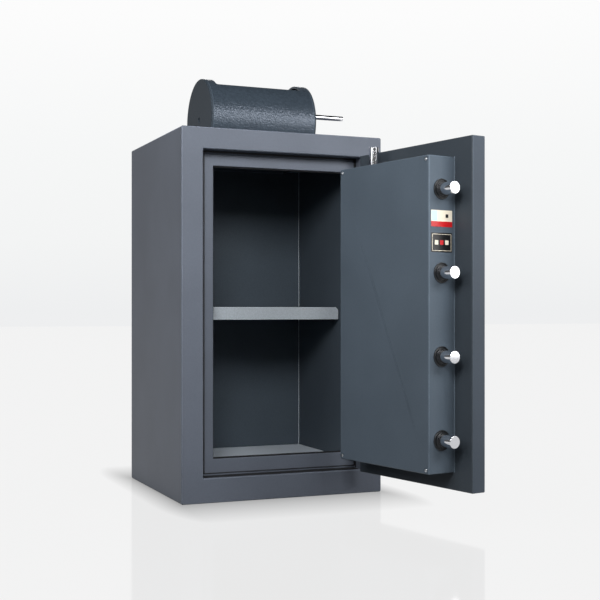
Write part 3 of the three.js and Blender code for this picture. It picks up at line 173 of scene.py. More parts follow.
def grey_ramp(tree, value, stops):
    """Colour from a height between -1 and 1, with a stop for each pair of height and hex colour."""
    share = add_node(tree, "ShaderNodeMapRange", {"Value": value, "From Min": -1.0})
    ramp = add_node(tree, "ShaderNodeValToRGB", {"Fac": share})
    elements = ramp.color_ramp.elements
    while len(elements) < len(stops):
        elements.new(0.5)
    for element, (height, hex_value) in zip(elements, stops):
        element.position = (height + 1) / 2
        element.color = colour(hex_value)
    return ramp


def seen_directly(tree):
    """1 where a ray comes straight from the camera, a mirror or glass, and 0 for the light on the object."""
    path = add_node(tree, "ShaderNodeLightPath").outputs
    direct = path["Is Camera Ray"]
    for ray in ("Is Glossy Ray", "Is Transmission Ray"):
        direct = add_node(tree, "ShaderNodeMath", {0: direct, 1: path[ray]}, operation="MAXIMUM")
    return path, direct


def make_world():
    world = bpy.data.worlds.new("white studio")
    world.use_nodes = True
    tree = world.node_tree
    tree.nodes.clear()
    direction = add_node(tree, "ShaderNodeTexCoord").outputs["Generated"]
    height = add_node(tree, "ShaderNodeSeparateXYZ", {0: direction}).outputs["Z"]
    toward = add_node(tree, "ShaderNodeVectorMath", {0: direction, 1: BACKDROP_WAY}, operation="DOT_PRODUCT")
    low, high = BACKDROP_EDGES
    share = add_node(tree, "ShaderNodeMapRange", {"Value": toward.outputs["Value"], "From Min": low,
                                                  "From Max": high, "To Min": DIM_END})
    lights = ((grey_ramp(tree, height, BACKDROP_STOPS), 1.0), (grey_ramp(tree, height, MIRROR_STOPS), share),
              (colour("ffffff"), WORLD_LIGHT))
    backdrop, mirrored, room = [add_node(tree, "ShaderNodeBackground", {"Color": hue, "Strength": strength})
                                for hue, strength in lights]
    path, direct = seen_directly(tree)
    shown = add_node(tree, "ShaderNodeMixShader", {0: path["Is Glossy Ray"], 1: backdrop, 2: mirrored})
    mix = add_node(tree, "ShaderNodeMixShader", {0: direct, 1: room, 2: shown})
    add_node(tree, "ShaderNodeOutputWorld", {"Surface": mix})
    bpy.context.scene.world = world


make_world()
print("world light", WORLD_LIGHT, "and", len(BACKDROP_STOPS), "greys behind the safe")

# %% [markdown]
# ## Floor
# The floor is a plain sheet with a thin gloss, so the safe stands on a faint reflection of itself. Its own
# colour is a mid grey, which keeps it from throwing light up at the paint, and a glow for direct rays alone
# makes it white. A glow takes no shadow, so the soft shade at the foot is a painted shadow, drawn from the
# distance to the body: it reaches far in front of the body and behind it, and only a little to its sides.

# %% Floor
FLOOR_SIZE = 60
FLOOR_COLOUR = "505152"
FLOOR_GLOW = 0.785
# Level of the painted shadow at the foot of the body.
FOOT_SHADE = 0.46
# How far the shade reaches in metres: to the sides, and to the front and the back.
FOOT_SHADE_REACH = (0.07, 0.26, 1)
FOOT_SHADE_CURVE = 0.8
FLOOR_GLOSS = 0.1
FLOOR_ROUGHNESS = 0.07


def foot_shade(tree):
    """Painted shadow for the floor's glow: least at the foot of the body, and 1 from the shade's reach on."""
    low, high = [Vector((corner[0], corner[1], 0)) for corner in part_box("outer_shell")]
    vector = add_node(tree, "ShaderNodeTexCoord").outputs["Object"]
    for operation, value in (("SUBTRACT", (low + high) / 2), ("ABSOLUTE", (0, 0, 0)),
                             ("SUBTRACT", (high - low) / 2), ("MAXIMUM", (0, 0, 0)),
                             ("DIVIDE", FOOT_SHADE_REACH)):
        vector = add_node(tree, "ShaderNodeVectorMath", {0: vector, 1: value}, operation=operation)
    away = add_node(tree, "ShaderNodeVectorMath", {0: vector}, operation="LENGTH").outputs["Value"]
    share = add_node(tree, "ShaderNodeMath", {0: away, 1: 1.0}, operation="MINIMUM")
    curve = add_node(tree, "ShaderNodeMath", {0: share, 1: FOOT_SHADE_CURVE}, operation="POWER")
    return add_node(tree, "ShaderNodeMapRange", {"Value": curve, "To Min": FOOT_SHADE})


def floor_material():
    material, tree = new_material("glossy white studio floor")
    flat = add_node(tree, "ShaderNodeBsdfDiffuse", {"Color": colour(FLOOR_COLOUR)})
    gloss = add_node(tree, "ShaderNodeBsdfGlossy", {"Color": colour("ffffff"), "Roughness": FLOOR_ROUGHNESS})
    layer = add_node(tree, "ShaderNodeMixShader", {0: FLOOR_GLOSS, 1: flat, 2: gloss})
    level = add_node(tree, "ShaderNodeMath", {0: foot_shade(tree), 1: FLOOR_GLOW}, operation="MULTIPLY")
    strength = add_node(tree, "ShaderNodeMath", {0: seen_directly(tree)[1], 1: level}, operation="MULTIPLY")
    glow = add_node(tree, "ShaderNodeEmission", {"Color": colour("ffffff"), "Strength": strength})
    both = add_node(tree, "ShaderNodeAddShader", {0: layer, 1: glow})
    add_node(tree, "ShaderNodeOutputMaterial", {"Surface": both})
    return material


def make_floor():
    mesh = bpy.data.meshes.new("floor")
    half = FLOOR_SIZE / 2
    corners = [(-half, -half, 0), (half, -half, 0), (half, half, 0), (-half, half, 0)]
    mesh.from_pydata(corners, [], [(0, 1, 2, 3)])
    floor = new_object("floor", mesh)
    mesh.materials.append(floor_material())
    return floor


floor = make_floor()
print(floor.name, FLOOR_SIZE, "m wide")

# %% [markdown]
# ## Lamps
# The paint is brightest at the top left of the front and darkest at its foot, so the main softbox hangs
# above the front on the left, close by. Two more on the right put the highlight on the hopper and the
# bolts. A wide one on the left keeps the side from going black, a low one on the right lifts the door's
# lower half, and one behind lights the back for a view from there. No lamp shines on the floor, because its
# gloss would show each one as a white square.

# %% Lamps
# Each lamp: place in metres, where it points, width and height in metres, and power in watts.
LAMPS = {
    "front left softbox": ((-0.82, -1.78, 1.45), (-0.1, 0, 0.86), (0.5, 0.6), 12),
    "front right softbox": ((0.65, -2.2, 1.5), (0, 0, 0.7), (0.7, 0.6), 6.5),
    "right softbox": ((1.3, -2.2, 1.5), (0.1, -0.2, 0.7), (0.6, 0.6), 6.5),
    "left softbox": ((-2.8, -1.0, 1.9), (0, -0.3, 0.5), (1.4, 1.4), 12.5),
    "low right softbox": ((1.9, -2.2, 0.7), (0, -0.3, 0.5), (0.9, 0.8), 3.6),
    "back softbox": ((0.9, 2.8, 1.7), (0, 0, 0.5), (1.6, 1.2), 9),
}
LAMP_SPREAD_DEG = 120


def everything_but(thing):
    """A light's list of what it falls on, which leaves one object out."""
    unlit = bpy.data.collections.new("out of the lamps' light")
    unlit.objects.link(thing)
    unlit.collection_objects[0].light_linking.link_state = "EXCLUDE"
    return unlit


lit_things = everything_but(floor)


def add_lamp(name, place, target, size, power):
    data = bpy.data.lights.new(name, "AREA")
    data.shape = "RECTANGLE"
    data.size, data.size_y = size
    data.energy = power
    data.spread = radians(LAMP_SPREAD_DEG)
    lamp = new_object(name, data)
    lamp.light_linking.receiver_collection = lit_things
    lamp.location = place
    lamp.rotation_euler = (Vector(target) - Vector(place)).to_track_quat("-Z", "Y").to_euler()


for name, settings in LAMPS.items():
    add_lamp(name, *settings)
bpy.context.scene.view_settings.view_transform = "Standard"
print(len(LAMPS), "lamps")

# %% [markdown]
# ## Textured powder coat
# The body and the door are sprayed with powder that is baked to a fine orange peel. To the eye it is a
# satin grey that breaks up each highlight into grains. Two sizes of noise make the peel: the grain itself
# and a slower wave. A faint change of colour stands for the thickness of the coat. The paint is also made
# lighter along each fold, a painted highlight for the line of light that a fold catches. The Bevel node
# finds the fold: it gives the normal that a round corner would have, and the paint is lighter where that
# normal leaves the flat one.

# %% Powder coat
COAT_IOR = 1.5
PEEL_GRAIN_MM = 1.4
PEEL_STRENGTH = 0.8
PEEL_WAVE_MM = 9
PEEL_WAVE_HEIGHT = 0.0004
PEEL_WAVE_STRENGTH = 0.35
TONE_PATCH_MM = 160
TONE_RANGE = (0.3, 0.7)
# Specks are this much wider than the grain, and the gloss goes this far to each side of its middle.
SPECK_TO_GRAIN = 1.5
SPECK_RANGE = (0.35, 0.65)
GLOSS_DOWN, GLOSS_UP = 0.05, 0.07
EDGE_REACH_MM = 3.0
EDGE_AGREEMENT = (0.99, 0.8)
# How much lighter the paint gets along a fold: a painted highlight.
EDGE_HIGHLIGHT_GAIN = 2.0
EDGE_SAMPLES = 6


def edge_share(tree):
    """Painted highlight: 1 on flat faces, and up to EDGE_HIGHLIGHT_GAIN along a fold, as the normal turns within
    the reach.
    """
    rounded = add_node(tree, "ShaderNodeBevel", {"Radius": EDGE_REACH_MM * MM}, samples=EDGE_SAMPLES)
    here = add_node(tree, "ShaderNodeNewGeometry").outputs["Normal"]
    agreement = add_node(tree, "ShaderNodeVectorMath", {0: rounded, 1: here}, operation="DOT_PRODUCT")
    alike, apart = EDGE_AGREEMENT
    return add_node(tree, "ShaderNodeMapRange", {"Value": agreement.outputs["Value"], "From Min": alike,
                                                 "From Max": apart, "To Min": 1.0, "To Max": EDGE_HIGHLIGHT_GAIN})


def powder_coat(name, paint_hex, grain_mm=PEEL_GRAIN_MM, grain_height=0.00012, roughness=0.46,
                tone=0.06, fleck=0.05, gloss=0.17, sheen_hex="ffffff"):
    """Satin powder coat: base colour, orange peel as bump, a slight change of tone and gloss, and a painted
    highlight on folds.
    """
    material, tree = new_material(name)
    specks = noise_at(tree, grain_mm * SPECK_TO_GRAIN, detail=3)
    # The level starts from the painted highlight along the folds.
    level = edge_share(tree)
    for pattern, (low, high), change in ((noise_at(tree, TONE_PATCH_MM), TONE_RANGE, tone),
                                         (specks, SPECK_RANGE, fleck)):
        share = add_node(tree, "ShaderNodeMapRange", {"Value": pattern, "From Min": low, "From Max": high,
                                                      "To Min": 1 - change, "To Max": 1 + change})
        level = add_node(tree, "ShaderNodeMath", {0: level, 1: share}, operation="MULTIPLY")
    rough = add_node(tree, "ShaderNodeMapRange", {"Value": specks, "To Min": roughness - GLOSS_DOWN,
                                                  "To Max": roughness + GLOSS_UP})
    wave = add_node(tree, "ShaderNodeBump", {"Height": noise_at(tree, PEEL_WAVE_MM, detail=1),
                                             "Strength": PEEL_WAVE_STRENGTH, "Distance": PEEL_WAVE_HEIGHT})
    peel = add_node(tree, "ShaderNodeBump", {"Height": noise_at(tree, grain_mm), "Normal": wave,
                                             "Strength": PEEL_STRENGTH, "Distance": grain_height})
    more = {"IOR": COAT_IOR, "Specular IOR Level": gloss, "Specular Tint": colour(sheen_hex)}
    end_in_surface(tree, paint_hex, level, rough, peel, more)
    return material


print("peel grain", PEEL_GRAIN_MM, "mm")

# %% Paints of the safe
# Graphite on the body: a cool grey, the lightest coat outside.
body_coat = powder_coat("graphite textured powder coat", "5d636e")
# Slate on the box and the hinges: a little bluer and darker than the body.
door_coat = powder_coat("slate textured powder coat", "535e69")
# Dark slate on the inner sheet: a dark border that sets off the box.
plate_coat = powder_coat("dark slate textured powder coat", "3b4249")
# Deep slate on the pan: between the two, so the door's edge parts from its sheet.
skin_coat = powder_coat("deep slate textured powder coat", "474f59")
# Dark satin in the room: darker than the body's grey, which is painted shade for the inside of the room, with a
# coarser grain.
shaded_room_coat = powder_coat("dark satin powder coat", "48515a", grain_mm=1.8, roughness=0.5)
# Light grey with flecks on the shelf: the brightest face in the room.
shelf_coat = powder_coat("light grey fleck powder coat", "acb4bb", grain_mm=1.6, fleck=0.09, roughness=0.5)
# Pale grey on the floor sheet: painted light, a pale colour that stands for the light falling into the room.
painted_light_sheet_coat = powder_coat("pale grey powder coat", "ccd5de", grain_mm=1.6, fleck=0.06, roughness=0.5)
# Hammered enamel on the hopper: wide dimples that break its highlight into flakes.
hopper_coat = powder_coat("hammered slate enamel", "333c45", grain_mm=4.5, grain_height=0.0014,
                          roughness=0.3, fleck=0.12, gloss=0.58, sheen_hex="dfe9fa")
# Smooth enamel on the hopper's ends: dark and even beside the dimples.
hopper_end_coat = powder_coat("smooth slate enamel", "353d45", gloss=0.1)
print(len(bpy.data.materials), "materials so far")

# %% [markdown]
# ## Metals
# The bolts and the crank's grip are chromed: a mirror with almost no grain. The inner works are turned and
# sawn steel, which is duller and has lines along the cut. Bearings are bronze. A metal's colour is its
# reflection.

# %% Metals
# Real tool marks are finer. These are drawn as coarse as they need to be to show.
TOOL_MARK_MM = 0.8
MARK_STRENGTH = 0.5
MARK_TINT = (0.93, 1.05)
MARK_GLOSS = (0.8, 1.25)


def metal(name, metal_hex, roughness, mark_mm=TOOL_MARK_MM, mark_height=0.00001):
    """A bare metal with fine tool marks in its height, tint and gloss."""
    material, tree = new_material(name)
    marks = noise_at(tree, mark_mm)
    level, rough = [
        add_node(tree, "ShaderNodeMapRange", {"Value": marks, "To Min": usual * low, "To Max": usual * high})
        for usual, (low, high) in ((1.0, MARK_TINT), (roughness, MARK_GLOSS))
    ]
    lines = add_node(tree, "ShaderNodeBump", {"Height": marks, "Strength": MARK_STRENGTH,
                                              "Distance": mark_height})
    end_in_surface(tree, metal_hex, level, rough, lines, {"Metallic": 1.0})
    return material


# Chrome on the bolts and the grip: a clear mirror, white where it faces the backdrop and dark elsewhere.
chrome = metal("polished chrome plate", "d9dade", 0.09, mark_height=0.000004)
# Turned steel on the works: a grey mirror, blurred by the cutting lines.
turned_steel = metal("turned carbon steel", "9da0a4", 0.34, mark_height=0.00003)
# Bright zinc on the screws and pins: silvery points on the paint.
zinc_steel = metal("bright zinc-plated steel", "b9bcc0", 0.28, mark_height=0.00002)
# Bronze in the bearings: a warm brown ring around the axle.
bearing_bronze = metal("turned bearing bronze", "a27a45", 0.32, mark_height=0.00003)
print(chrome.name, "and three more metals")

# %% [markdown]
# ## Black plastic, rubber and fill
# The guide rings are moulded nylon, satin and slightly uneven. The seal is rubber with a fine dust of talc.
# The fill is a cast mineral mix with pores, which only shows where the plates leave a gap.

# %% Matt materials
MATT_STRENGTH = 0.6


def matt(name, base_hex, roughness, grain_mm, grain_height, tone=0.1):
    """A non-metal whose grain is grain_mm across and grain_height metres deep."""
    material, tree = new_material(name)
    grain = noise_at(tree, grain_mm, detail=3)
    level = add_node(tree, "ShaderNodeMapRange", {"Value": grain, "To Min": 1 - tone, "To Max": 1 + tone})
    relief = add_node(tree, "ShaderNodeBump", {"Height": grain, "Strength": MATT_STRENGTH,
                                               "Distance": grain_height})
    end_in_surface(tree, base_hex, level, roughness, relief, {"IOR": COAT_IOR})
    return material


# Nylon in the guide rings: a soft black shine around each bolt.
black_nylon = matt("black moulded nylon", "191b1e", 0.36, 1.2, 0.00004)
# Rubber in the seals: black with no shine. On the strips at the rebate it is painted shade, the dark lines where
# the frame's edge casts its shadow.
seal_rubber = matt("black extruded rubber", "15161a", 0.75, 0.9, 0.00005)
# Cast fill: pale and porous, like stone.
cast_fill = matt("cast mineral fill", "a8a59d", 0.95, 3.0, 0.0004, tone=0.2)
print(black_nylon.name, seal_rubber.name, cast_fill.name, sep=", ")

# %% [markdown]
# ## Finishes of the frame's own pieces
# A solid whose shape is already right stays, and only gets its finish. This table says which slot of the
# record takes which material. The finer pieces below replace some of these solids.

# %% Finishes by slot
FINISH = {
    "body_paint": body_coat,
    "door_paint": door_coat,
    "liner_paint": shaded_room_coat,
    "shelf_paint": shelf_coat,
    "hopper_paint": hopper_coat,
    "chrome": chrome,
    "plain_steel": turned_steel,
    "black_ring": black_nylon,
    "seal_rubber": seal_rubber,
    "bronze": bearing_bronze,
    "fill": cast_fill,
}

slot_of = {part["node"]: part["material_slot"] for part in frame["record"]["subparts"]}
body_of = {node: body for body, members in frame["record"]["behaviour"]["bodies"].items() for node in members}
for node, solid in nodes.items():
    solid.data.materials.clear()
    solid.data.materials.append(FINISH[slot_of[node]])
print("finishes", sorted(FINISH))

# %% [markdown]
# ## Placing the door's pieces
# The door is easiest to think of when it is closed, with X along its width and Y into the safe. One matrix
# turns a piece from there to where the open door stands. It comes from the hinge joint, so it agrees with
# the solids.

# %% Door matrix and sizes of a solid
X, Y, Z = 0, 1, 2
swing = joints["door_swing"]
door_angle = -radians(swing["range_deg"][0])
hinge_point = Vector((swing["pos_m"][0], swing["pos_m"][1], 0))
DOOR = Matrix.Translation(hinge_point) @ Matrix.Rotation(door_angle, 4, "Z")
BODY = Matrix.Identity(4)


def local_box(node, matrix=BODY):
    """Lowest and highest corner of a solid, measured along a matrix's own axes."""
    back = matrix.inverted()
    points = [back @ v.co for v in nodes[node].data.vertices]
    return [Vector([pick(p[i] for p in points) for i in (X, Y, Z)]) for pick in (min, max)]


def side_of(node, axis, high, matrix=BODY):
    """Coordinate of a solid's lowest or highest face along one axis."""
    return local_box(node, matrix)[1 if high else 0][axis]


def middle(node, matrix=DOOR):
    low, high = local_box(node, matrix)
    return (low + high) / 2


def extent(node, matrix=DOOR):
    low, high = local_box(node, matrix)
    return high - low


print("door turned by", round(door_angle * 180 / pi, 1), "degrees")

# %% [markdown]
# ## Making a piece
# Every finer piece takes the same steps. Its mesh is welded and its faces are turned outwards, its sharp
# edges are eased with a bevel as a file or a press would, and its round stretches are shaded smooth. Then
# the solids it stands for are hidden, and it rides on that solid's body.

# %% Clean, ease and shade a mesh
EDGE_ANGLE = radians(38)
WELD_DISTANCE = 0.00001


def mesh_of(bm, name, weld=WELD_DISTANCE):
    """Welds a bmesh, turns its faces outwards, and makes it a mesh."""
    bmesh.ops.remove_doubles(bm, verts=bm.verts, dist=weld)
    bmesh.ops.recalc_face_normals(bm, faces=bm.faces)
    mesh = bpy.data.meshes.new(name)
    bm.to_mesh(mesh)
    bm.free()
    return mesh


def clean_mesh(name, build, place):
    """The mesh that build makes in an empty bmesh, in its place."""
    bm = bmesh.new()
    build(bm)
    mesh = mesh_of(bm, name)
    mesh.transform(place)
    return mesh


def apply_modifiers(piece):
    """Makes the result of a piece's modifiers its mesh, and removes them."""
    graph = bpy.context.evaluated_depsgraph_get()
    mesh = bpy.data.meshes.new_from_object(piece.evaluated_get(graph))
    piece.modifiers.clear()
    piece.data = mesh


def add_modifier(piece, kind, **settings):
    """Adds a modifier with its settings, and applies it."""
    modifier = piece.modifiers.new(kind.lower(), kind)
    for name, value in settings.items():
        setattr(modifier, name, value)
    apply_modifiers(piece)


def ease_edges(piece, width, steps=3, skip=None):
    """Bevels each sharp edge, except those whose two ends make skip true."""
    bm = bmesh.new()
    bm.from_mesh(piece.data)
    weight = bm.edges.layers.float.new("bevel_weight_edge")
    for edge in bm.edges:
        sharp = len(edge.link_faces) == 2 and edge.calc_face_angle() > EDGE_ANGLE
        if sharp and not (skip and skip(edge.verts[0].co, edge.verts[1].co)):
            edge[weight] = 1
    bm.to_mesh(piece.data)
    bm.free()
    add_modifier(piece, "BEVEL", width=width, segments=steps, limit_method="WEIGHT", use_clamp_overlap=False,
                 loop_slide=False, miter_outer="MITER_ARC")


def shade(piece):
    """Smooth shading in which the wide flat faces keep their own direction."""
    piece.data.shade_smooth()
    piece.data.set_sharp_from_angle(angle=EDGE_ANGLE)
    add_modifier(piece, "WEIGHTED_NORMAL", keep_sharp=True)


print("points closer than", WELD_DISTANCE / MM, "mm are welded")

# %% Name, material and body of a piece
def rough_piece(name, build, edge=0.0, steps=3, place=BODY, skip=None):
    """A piece with eased edges that has no finish and no body yet."""
    piece = new_object(name, clean_mesh(name, build, place))
    if edge:
        ease_edges(piece, edge, steps, skip)
    return piece


def settle(piece, replaces, material=None, body=None, slot=None):
    """Gives a mesh its material, by slot when none is given, and its body, and hides the solids it stands for."""
    shade(piece)
    slot = slot or slot_of[replaces[0]]
    piece.data.materials.clear()
    piece.data.materials.append(material or FINISH[slot])
    if replaces:
        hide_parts(*replaces)
    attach(piece, body or body_of[replaces[0]])
    return piece


def make_piece(name, build, material, body, slot, place=BODY, edge=0.0):
    """A finished piece that stands for no solid."""
    return settle(rough_piece(name, build, edge, place=place), [], material, body, slot)


print("edges sharper than", round(EDGE_ANGLE * 180 / pi), "degrees get eased")

# %% [markdown]
# ## Two ways to build
# Most of the safe is cut plate, so the first builder takes an outline, with holes, and gives it a
# thickness. The rest is turned on a lathe, so the second one spins a profile of radius and height about an
# axis.

# %% Outlines, plates and turned pieces
CORNER_STEPS = 6
ROUND_STEPS = 96
TO_FRONT = Matrix.Rotation(pi / 2, 4, "X")
TO_BACK = Matrix.Rotation(-pi / 2, 4, "X")
TO_RIGHT = Matrix.Rotation(pi / 2, 4, "Y")
TO_LEFT = Matrix.Rotation(-pi / 2, 4, "Y")


def rounded_rect(left, right, low, high, radius):
    """Corner points of a rectangle with round corners, anticlockwise."""
    outline = []
    for x, y, start in ((right - radius, low + radius, -pi / 2), (right - radius, high - radius, 0),
                        (left + radius, high - radius, pi / 2), (left + radius, low + radius, pi)):
        for step in range(CORNER_STEPS + 1):
            angle = start + step * pi / 2 / CORNER_STEPS
            outline.append((x + radius * cos(angle), y + radius * sin(angle)))
    return outline


def rect(left, right, low, high):
    """Corner points of a plain rectangle, anticlockwise."""
    return [(left, low), (right, low), (right, high), (left, high)]


def bar(radius, low, high):
    """The profile of a plain round bar."""
    return [(0, low), (radius, low), (radius, high), (0, high)]


def tube(outer, bore, low, high):
    """The profile of a plain ring."""
    return [(bore, low), (outer, low), (outer, high), (bore, high), (bore, low)]


def plate(loops, low, high):
    """A builder for a plate between two heights, from an outline followed by its holes."""
    def build(bm):
        rings = [[[bm.verts.new((x, y, z)) for x, y in loop] for loop in loops] for z in (low, high)]
        flat = [[Vector((x, y, 0)) for x, y in loop] for loop in loops]
        for ring in rings:
            corners = [vert for loop in ring for vert in loop]
            for triangle in tessellate_polygon(flat):
                bm.faces.new([corners[i] for i in triangle])
        for bottom, top in zip(*rings):
            for i in range(len(bottom)):
                bm.faces.new((bottom[i - 1], bottom[i], top[i], top[i - 1]))
    return build


def turned(profile, steps=ROUND_STEPS):
    """A builder that spins a closed profile of (radius, height) about Z."""
    def build(bm):
        rings = []
        for step in range(steps):
            angle = 2 * pi * step / steps
            rings.append([bm.verts.new((r * cos(angle), r * sin(angle), z)) for r, z in profile])
        for step in range(steps):
            here, there = rings[step - 1], rings[step]
            for i in range(len(profile) - 1):
                corners = [here[i], there[i], there[i + 1], here[i + 1]]
                if profile[i][0] == 0 and profile[i + 1][0] == 0:
                    continue
                if profile[i][0] == 0:
                    corners.remove(there[i])
                if profile[i + 1][0] == 0:
                    corners.remove(there[i + 1])
                bm.faces.new(corners)
    return build


# %% Cuts and joins
def cut_with(piece, tool, operation="DIFFERENCE"):
    """Cuts a second object out of a piece, or joins it on, and removes that object."""
    add_modifier(piece, "BOOLEAN", operation=operation, solver="EXACT", object=tool)
    bpy.data.objects.remove(tool)


def combine(piece, build, operation="DIFFERENCE"):
    """The same with a tool that build makes."""
    cut_with(piece, rough_piece("tool", build), operation)


print("rounds have", ROUND_STEPS, "steps")

# %% [markdown]
# ## Four patterns in Geometry Nodes
# Bolts, rings, screws, marks and welds repeat by a rule. One tree sets copies along a line, one turns
# copies about an axis, one sets them at four corners, and one draws a bead along a path. Each has named
# inputs for its sizes, so the same tree serves many pieces, and each ends with real faces and a material.

# %% Helpers for the trees
def new_tree(name, inputs):
    """An empty tree with a Geometry input, the named inputs, and its input node."""
    tree = bpy.data.node_groups.new(name, "GeometryNodeTree")
    tree.interface.new_socket("Geometry", in_out="INPUT", socket_type="NodeSocketGeometry")
    for label, kind in inputs.items():
        tree.interface.new_socket(label, in_out="INPUT", socket_type="NodeSocket" + kind)
    tree.interface.new_socket("Material", in_out="INPUT", socket_type="NodeSocketMaterial")
    tree.interface.new_socket("Geometry", in_out="OUTPUT", socket_type="NodeSocketGeometry")
    return tree, tree.nodes.new("NodeGroupInput").outputs


def end_tree(tree, inputs, shapes):
    """Makes the copies real, gives them the material and sends them out."""
    real = add_node(tree, "GeometryNodeRealizeInstances", {"Geometry": shapes})
    finished = add_node(tree, "GeometryNodeSetMaterial", {"Geometry": real, "Material": inputs["Material"]})
    add_node(tree, "NodeGroupOutput", {"Geometry": finished})
    return tree


def run_tree(piece, tree, **values):
    """Runs a tree on a piece, with its inputs by name, and keeps the result as a plain mesh."""
    modifier = piece.modifiers.new(tree.name, "NODES")
    modifier.node_group = tree
    for socket in tree.interface.items_tree:
        if socket.in_out == "INPUT" and socket.name in values:
            modifier[socket.identifier] = values[socket.name]
    apply_modifiers(piece)


def copies_at(tree, given, points, **turn):
    """Sets a copy of the piece at each point, and ends the tree."""
    sockets = {"Points": points, "Instance": given["Geometry"], **turn}
    return end_tree(tree, given, add_node(tree, "GeometryNodeInstanceOnPoints", sockets))


# %% Copies along a line, about an axis and at four corners
def line_tree():
    tree, given = new_tree("copies along a line", {"Count": "Int", "Step": "Vector"})
    sockets = {"Count": given["Count"], "Offset": given["Step"]}
    return copies_at(tree, given, add_node(tree, "GeometryNodeMeshLine", sockets, mode="OFFSET"))


def ring_tree():
    tree, given = new_tree("copies about an axis", {"Count": "Int"})
    points = add_node(tree, "GeometryNodePoints", {"Count": given["Count"]})
    index = add_node(tree, "GeometryNodeInputIndex")
    pitch = add_node(tree, "ShaderNodeMath", {0: 2 * pi, 1: given["Count"]}, operation="DIVIDE")
    angle = add_node(tree, "ShaderNodeMath", {0: index, 1: pitch}, operation="MULTIPLY")
    return copies_at(tree, given, points, Rotation=add_node(tree, "ShaderNodeCombineXYZ", {"Z": angle}))


def corner_tree():
    tree, given = new_tree("copies at four corners", {"Width": "Float", "Height": "Float"})
    sockets = {"Size X": given["Width"], "Size Y": given["Height"], "Vertices X": 2, "Vertices Y": 2}
    return copies_at(tree, given, add_node(tree, "GeometryNodeMeshGrid", sockets))


LINE, RING, CORNERS = line_tree(), ring_tree(), corner_tree()
print("trees", [tree.name for tree in (LINE, RING, CORNERS)])

# %% A bead along a path
BEAD_SIDES = 10
STEPS_PER_RIPPLE = 5


def bead_tree():
    sizes = dict.fromkeys(("Radius", "Ripple", "Ripple Share"), "Float")
    tree, given = new_tree("bead along a path", sizes)
    path = add_node(tree, "GeometryNodeMeshToCurve", {"Mesh": given["Geometry"]})
    spacing = add_node(tree, "ShaderNodeMath", {0: given["Ripple"], 1: STEPS_PER_RIPPLE}, operation="DIVIDE")
    even = add_node(tree, "GeometryNodeResampleCurve", {"Curve": path, "Length": spacing}, mode="LENGTH")
    index = add_node(tree, "GeometryNodeInputIndex")
    turn = add_node(tree, "ShaderNodeMath", {0: index, 1: 2 * pi / STEPS_PER_RIPPLE}, operation="MULTIPLY")
    wave = add_node(tree, "ShaderNodeMath", {0: turn}, operation="SINE")
    sockets = {0: wave, 1: given["Ripple Share"], 2: 1.0}
    swell = add_node(tree, "ShaderNodeMath", sockets, operation="MULTIPLY_ADD")
    circle = {"Resolution": BEAD_SIDES, "Radius": given["Radius"]}
    section = add_node(tree, "GeometryNodeCurvePrimitiveCircle", circle)
    sockets = {"Curve": even, "Profile Curve": section, "Scale": swell, "Fill Caps": True}
    return end_tree(tree, given, add_node(tree, "GeometryNodeCurveToMesh", sockets))


BEAD = bead_tree()
print("tree", BEAD.name)

# %% [markdown]
# ## Cut and folded plate with eased edges
# Most of the safe is plate with the right outline already, but a real plate has no razor edges: each has a
# small round that catches a line of light. A copy of the solid is welded, and its sharp edges get a bevel.
# Where the real one is welded flush to its neighbour and ground, the copy closes the small gap between the
# two solids and keeps that edge square, so that no seam shows.

# %% Eased copies of the plate pieces
PLANE_TOLERANCE = 0.00002


def on_plane(point, flush):
    """True where a point lies on the plane that a flush face has moved to."""
    matrix, axis, here, there = flush
    return abs((matrix.inverted() @ point)[axis] - there) < PLANE_TOLERANCE


def welded_copy(node, flushes):
    """A builder for a solid's own mesh with its flush faces moved up to their neighbours."""
    def build(bm):
        bm.from_mesh(nodes[node].data)
        bmesh.ops.remove_doubles(bm, verts=bm.verts, dist=WELD_DISTANCE)
        for matrix, axis, here, there in flushes:
            back = matrix.inverted()
            for vert in bm.verts:
                local = back @ vert.co
                if abs(local[axis] - here) < PLANE_TOLERANCE:
                    local[axis] = there
                    vert.co = matrix @ local
    return build


def eased_copy(node, edge, flushes, material=None):
    """A plate piece that replaces its own solid."""
    def skip(a, b):
        return any(on_plane(a, face) and on_plane(b, face) for face in flushes)

    return settle(rough_piece("eased_" + node, welded_copy(node, flushes), edge, skip=skip), [node], material)


# %% Faces that close up to their neighbours
ROOF = side_of("outer_shell", Z, True)
SHELL_FRONT = side_of("outer_shell", Y, False)
FRAME_PLATE = 6 * MM
FRAME_BACK = side_of("front_frame", Y, False) + FRAME_PLATE
SHEET_FRONT = side_of("door_inner_sheet", Y, False, DOOR)
SHEET_BACK = side_of("door_inner_sheet", Y, True, DOOR)
COVER_FRONT = side_of("box_cover", Y, False, DOOR)

# Each flush face: the matrix it is measured along, its axis, where it lies, and where it moves to.
frame_to_shell = (BODY, Y, FRAME_BACK, SHELL_FRONT)
shell_to_frame = (BODY, Y, SHELL_FRONT, SHELL_FRONT)
foot_to_roof = (BODY, Z, side_of("hopper_housing", Z, False), ROOF)
pipe_to_end, end_to_pipe = {}, {}
for side in ("left", "right"):
    end = side_of("hopper_end_" + side, X, side == "left")
    pipe_to_end[side] = (BODY, X, side_of("hopper_housing", X, side == "right"), end)
    end_to_pipe[side] = (BODY, X, end, end)
pan_to_sheet = (DOOR, Y, side_of("door_pan", Y, True, DOOR), SHEET_FRONT)
sheet_to_pan = (DOOR, Y, SHEET_FRONT, SHEET_FRONT)
box_to_sheet = (DOOR, Y, side_of("bolt_box", Y, False, DOOR), SHEET_BACK)
box_to_cover = (DOOR, Y, side_of("bolt_box", Y, True, DOOR), COVER_FRONT)
cover_to_box = (DOOR, Y, COVER_FRONT, COVER_FRONT)
print("roof at", round(ROOF / MM, 1), "mm")

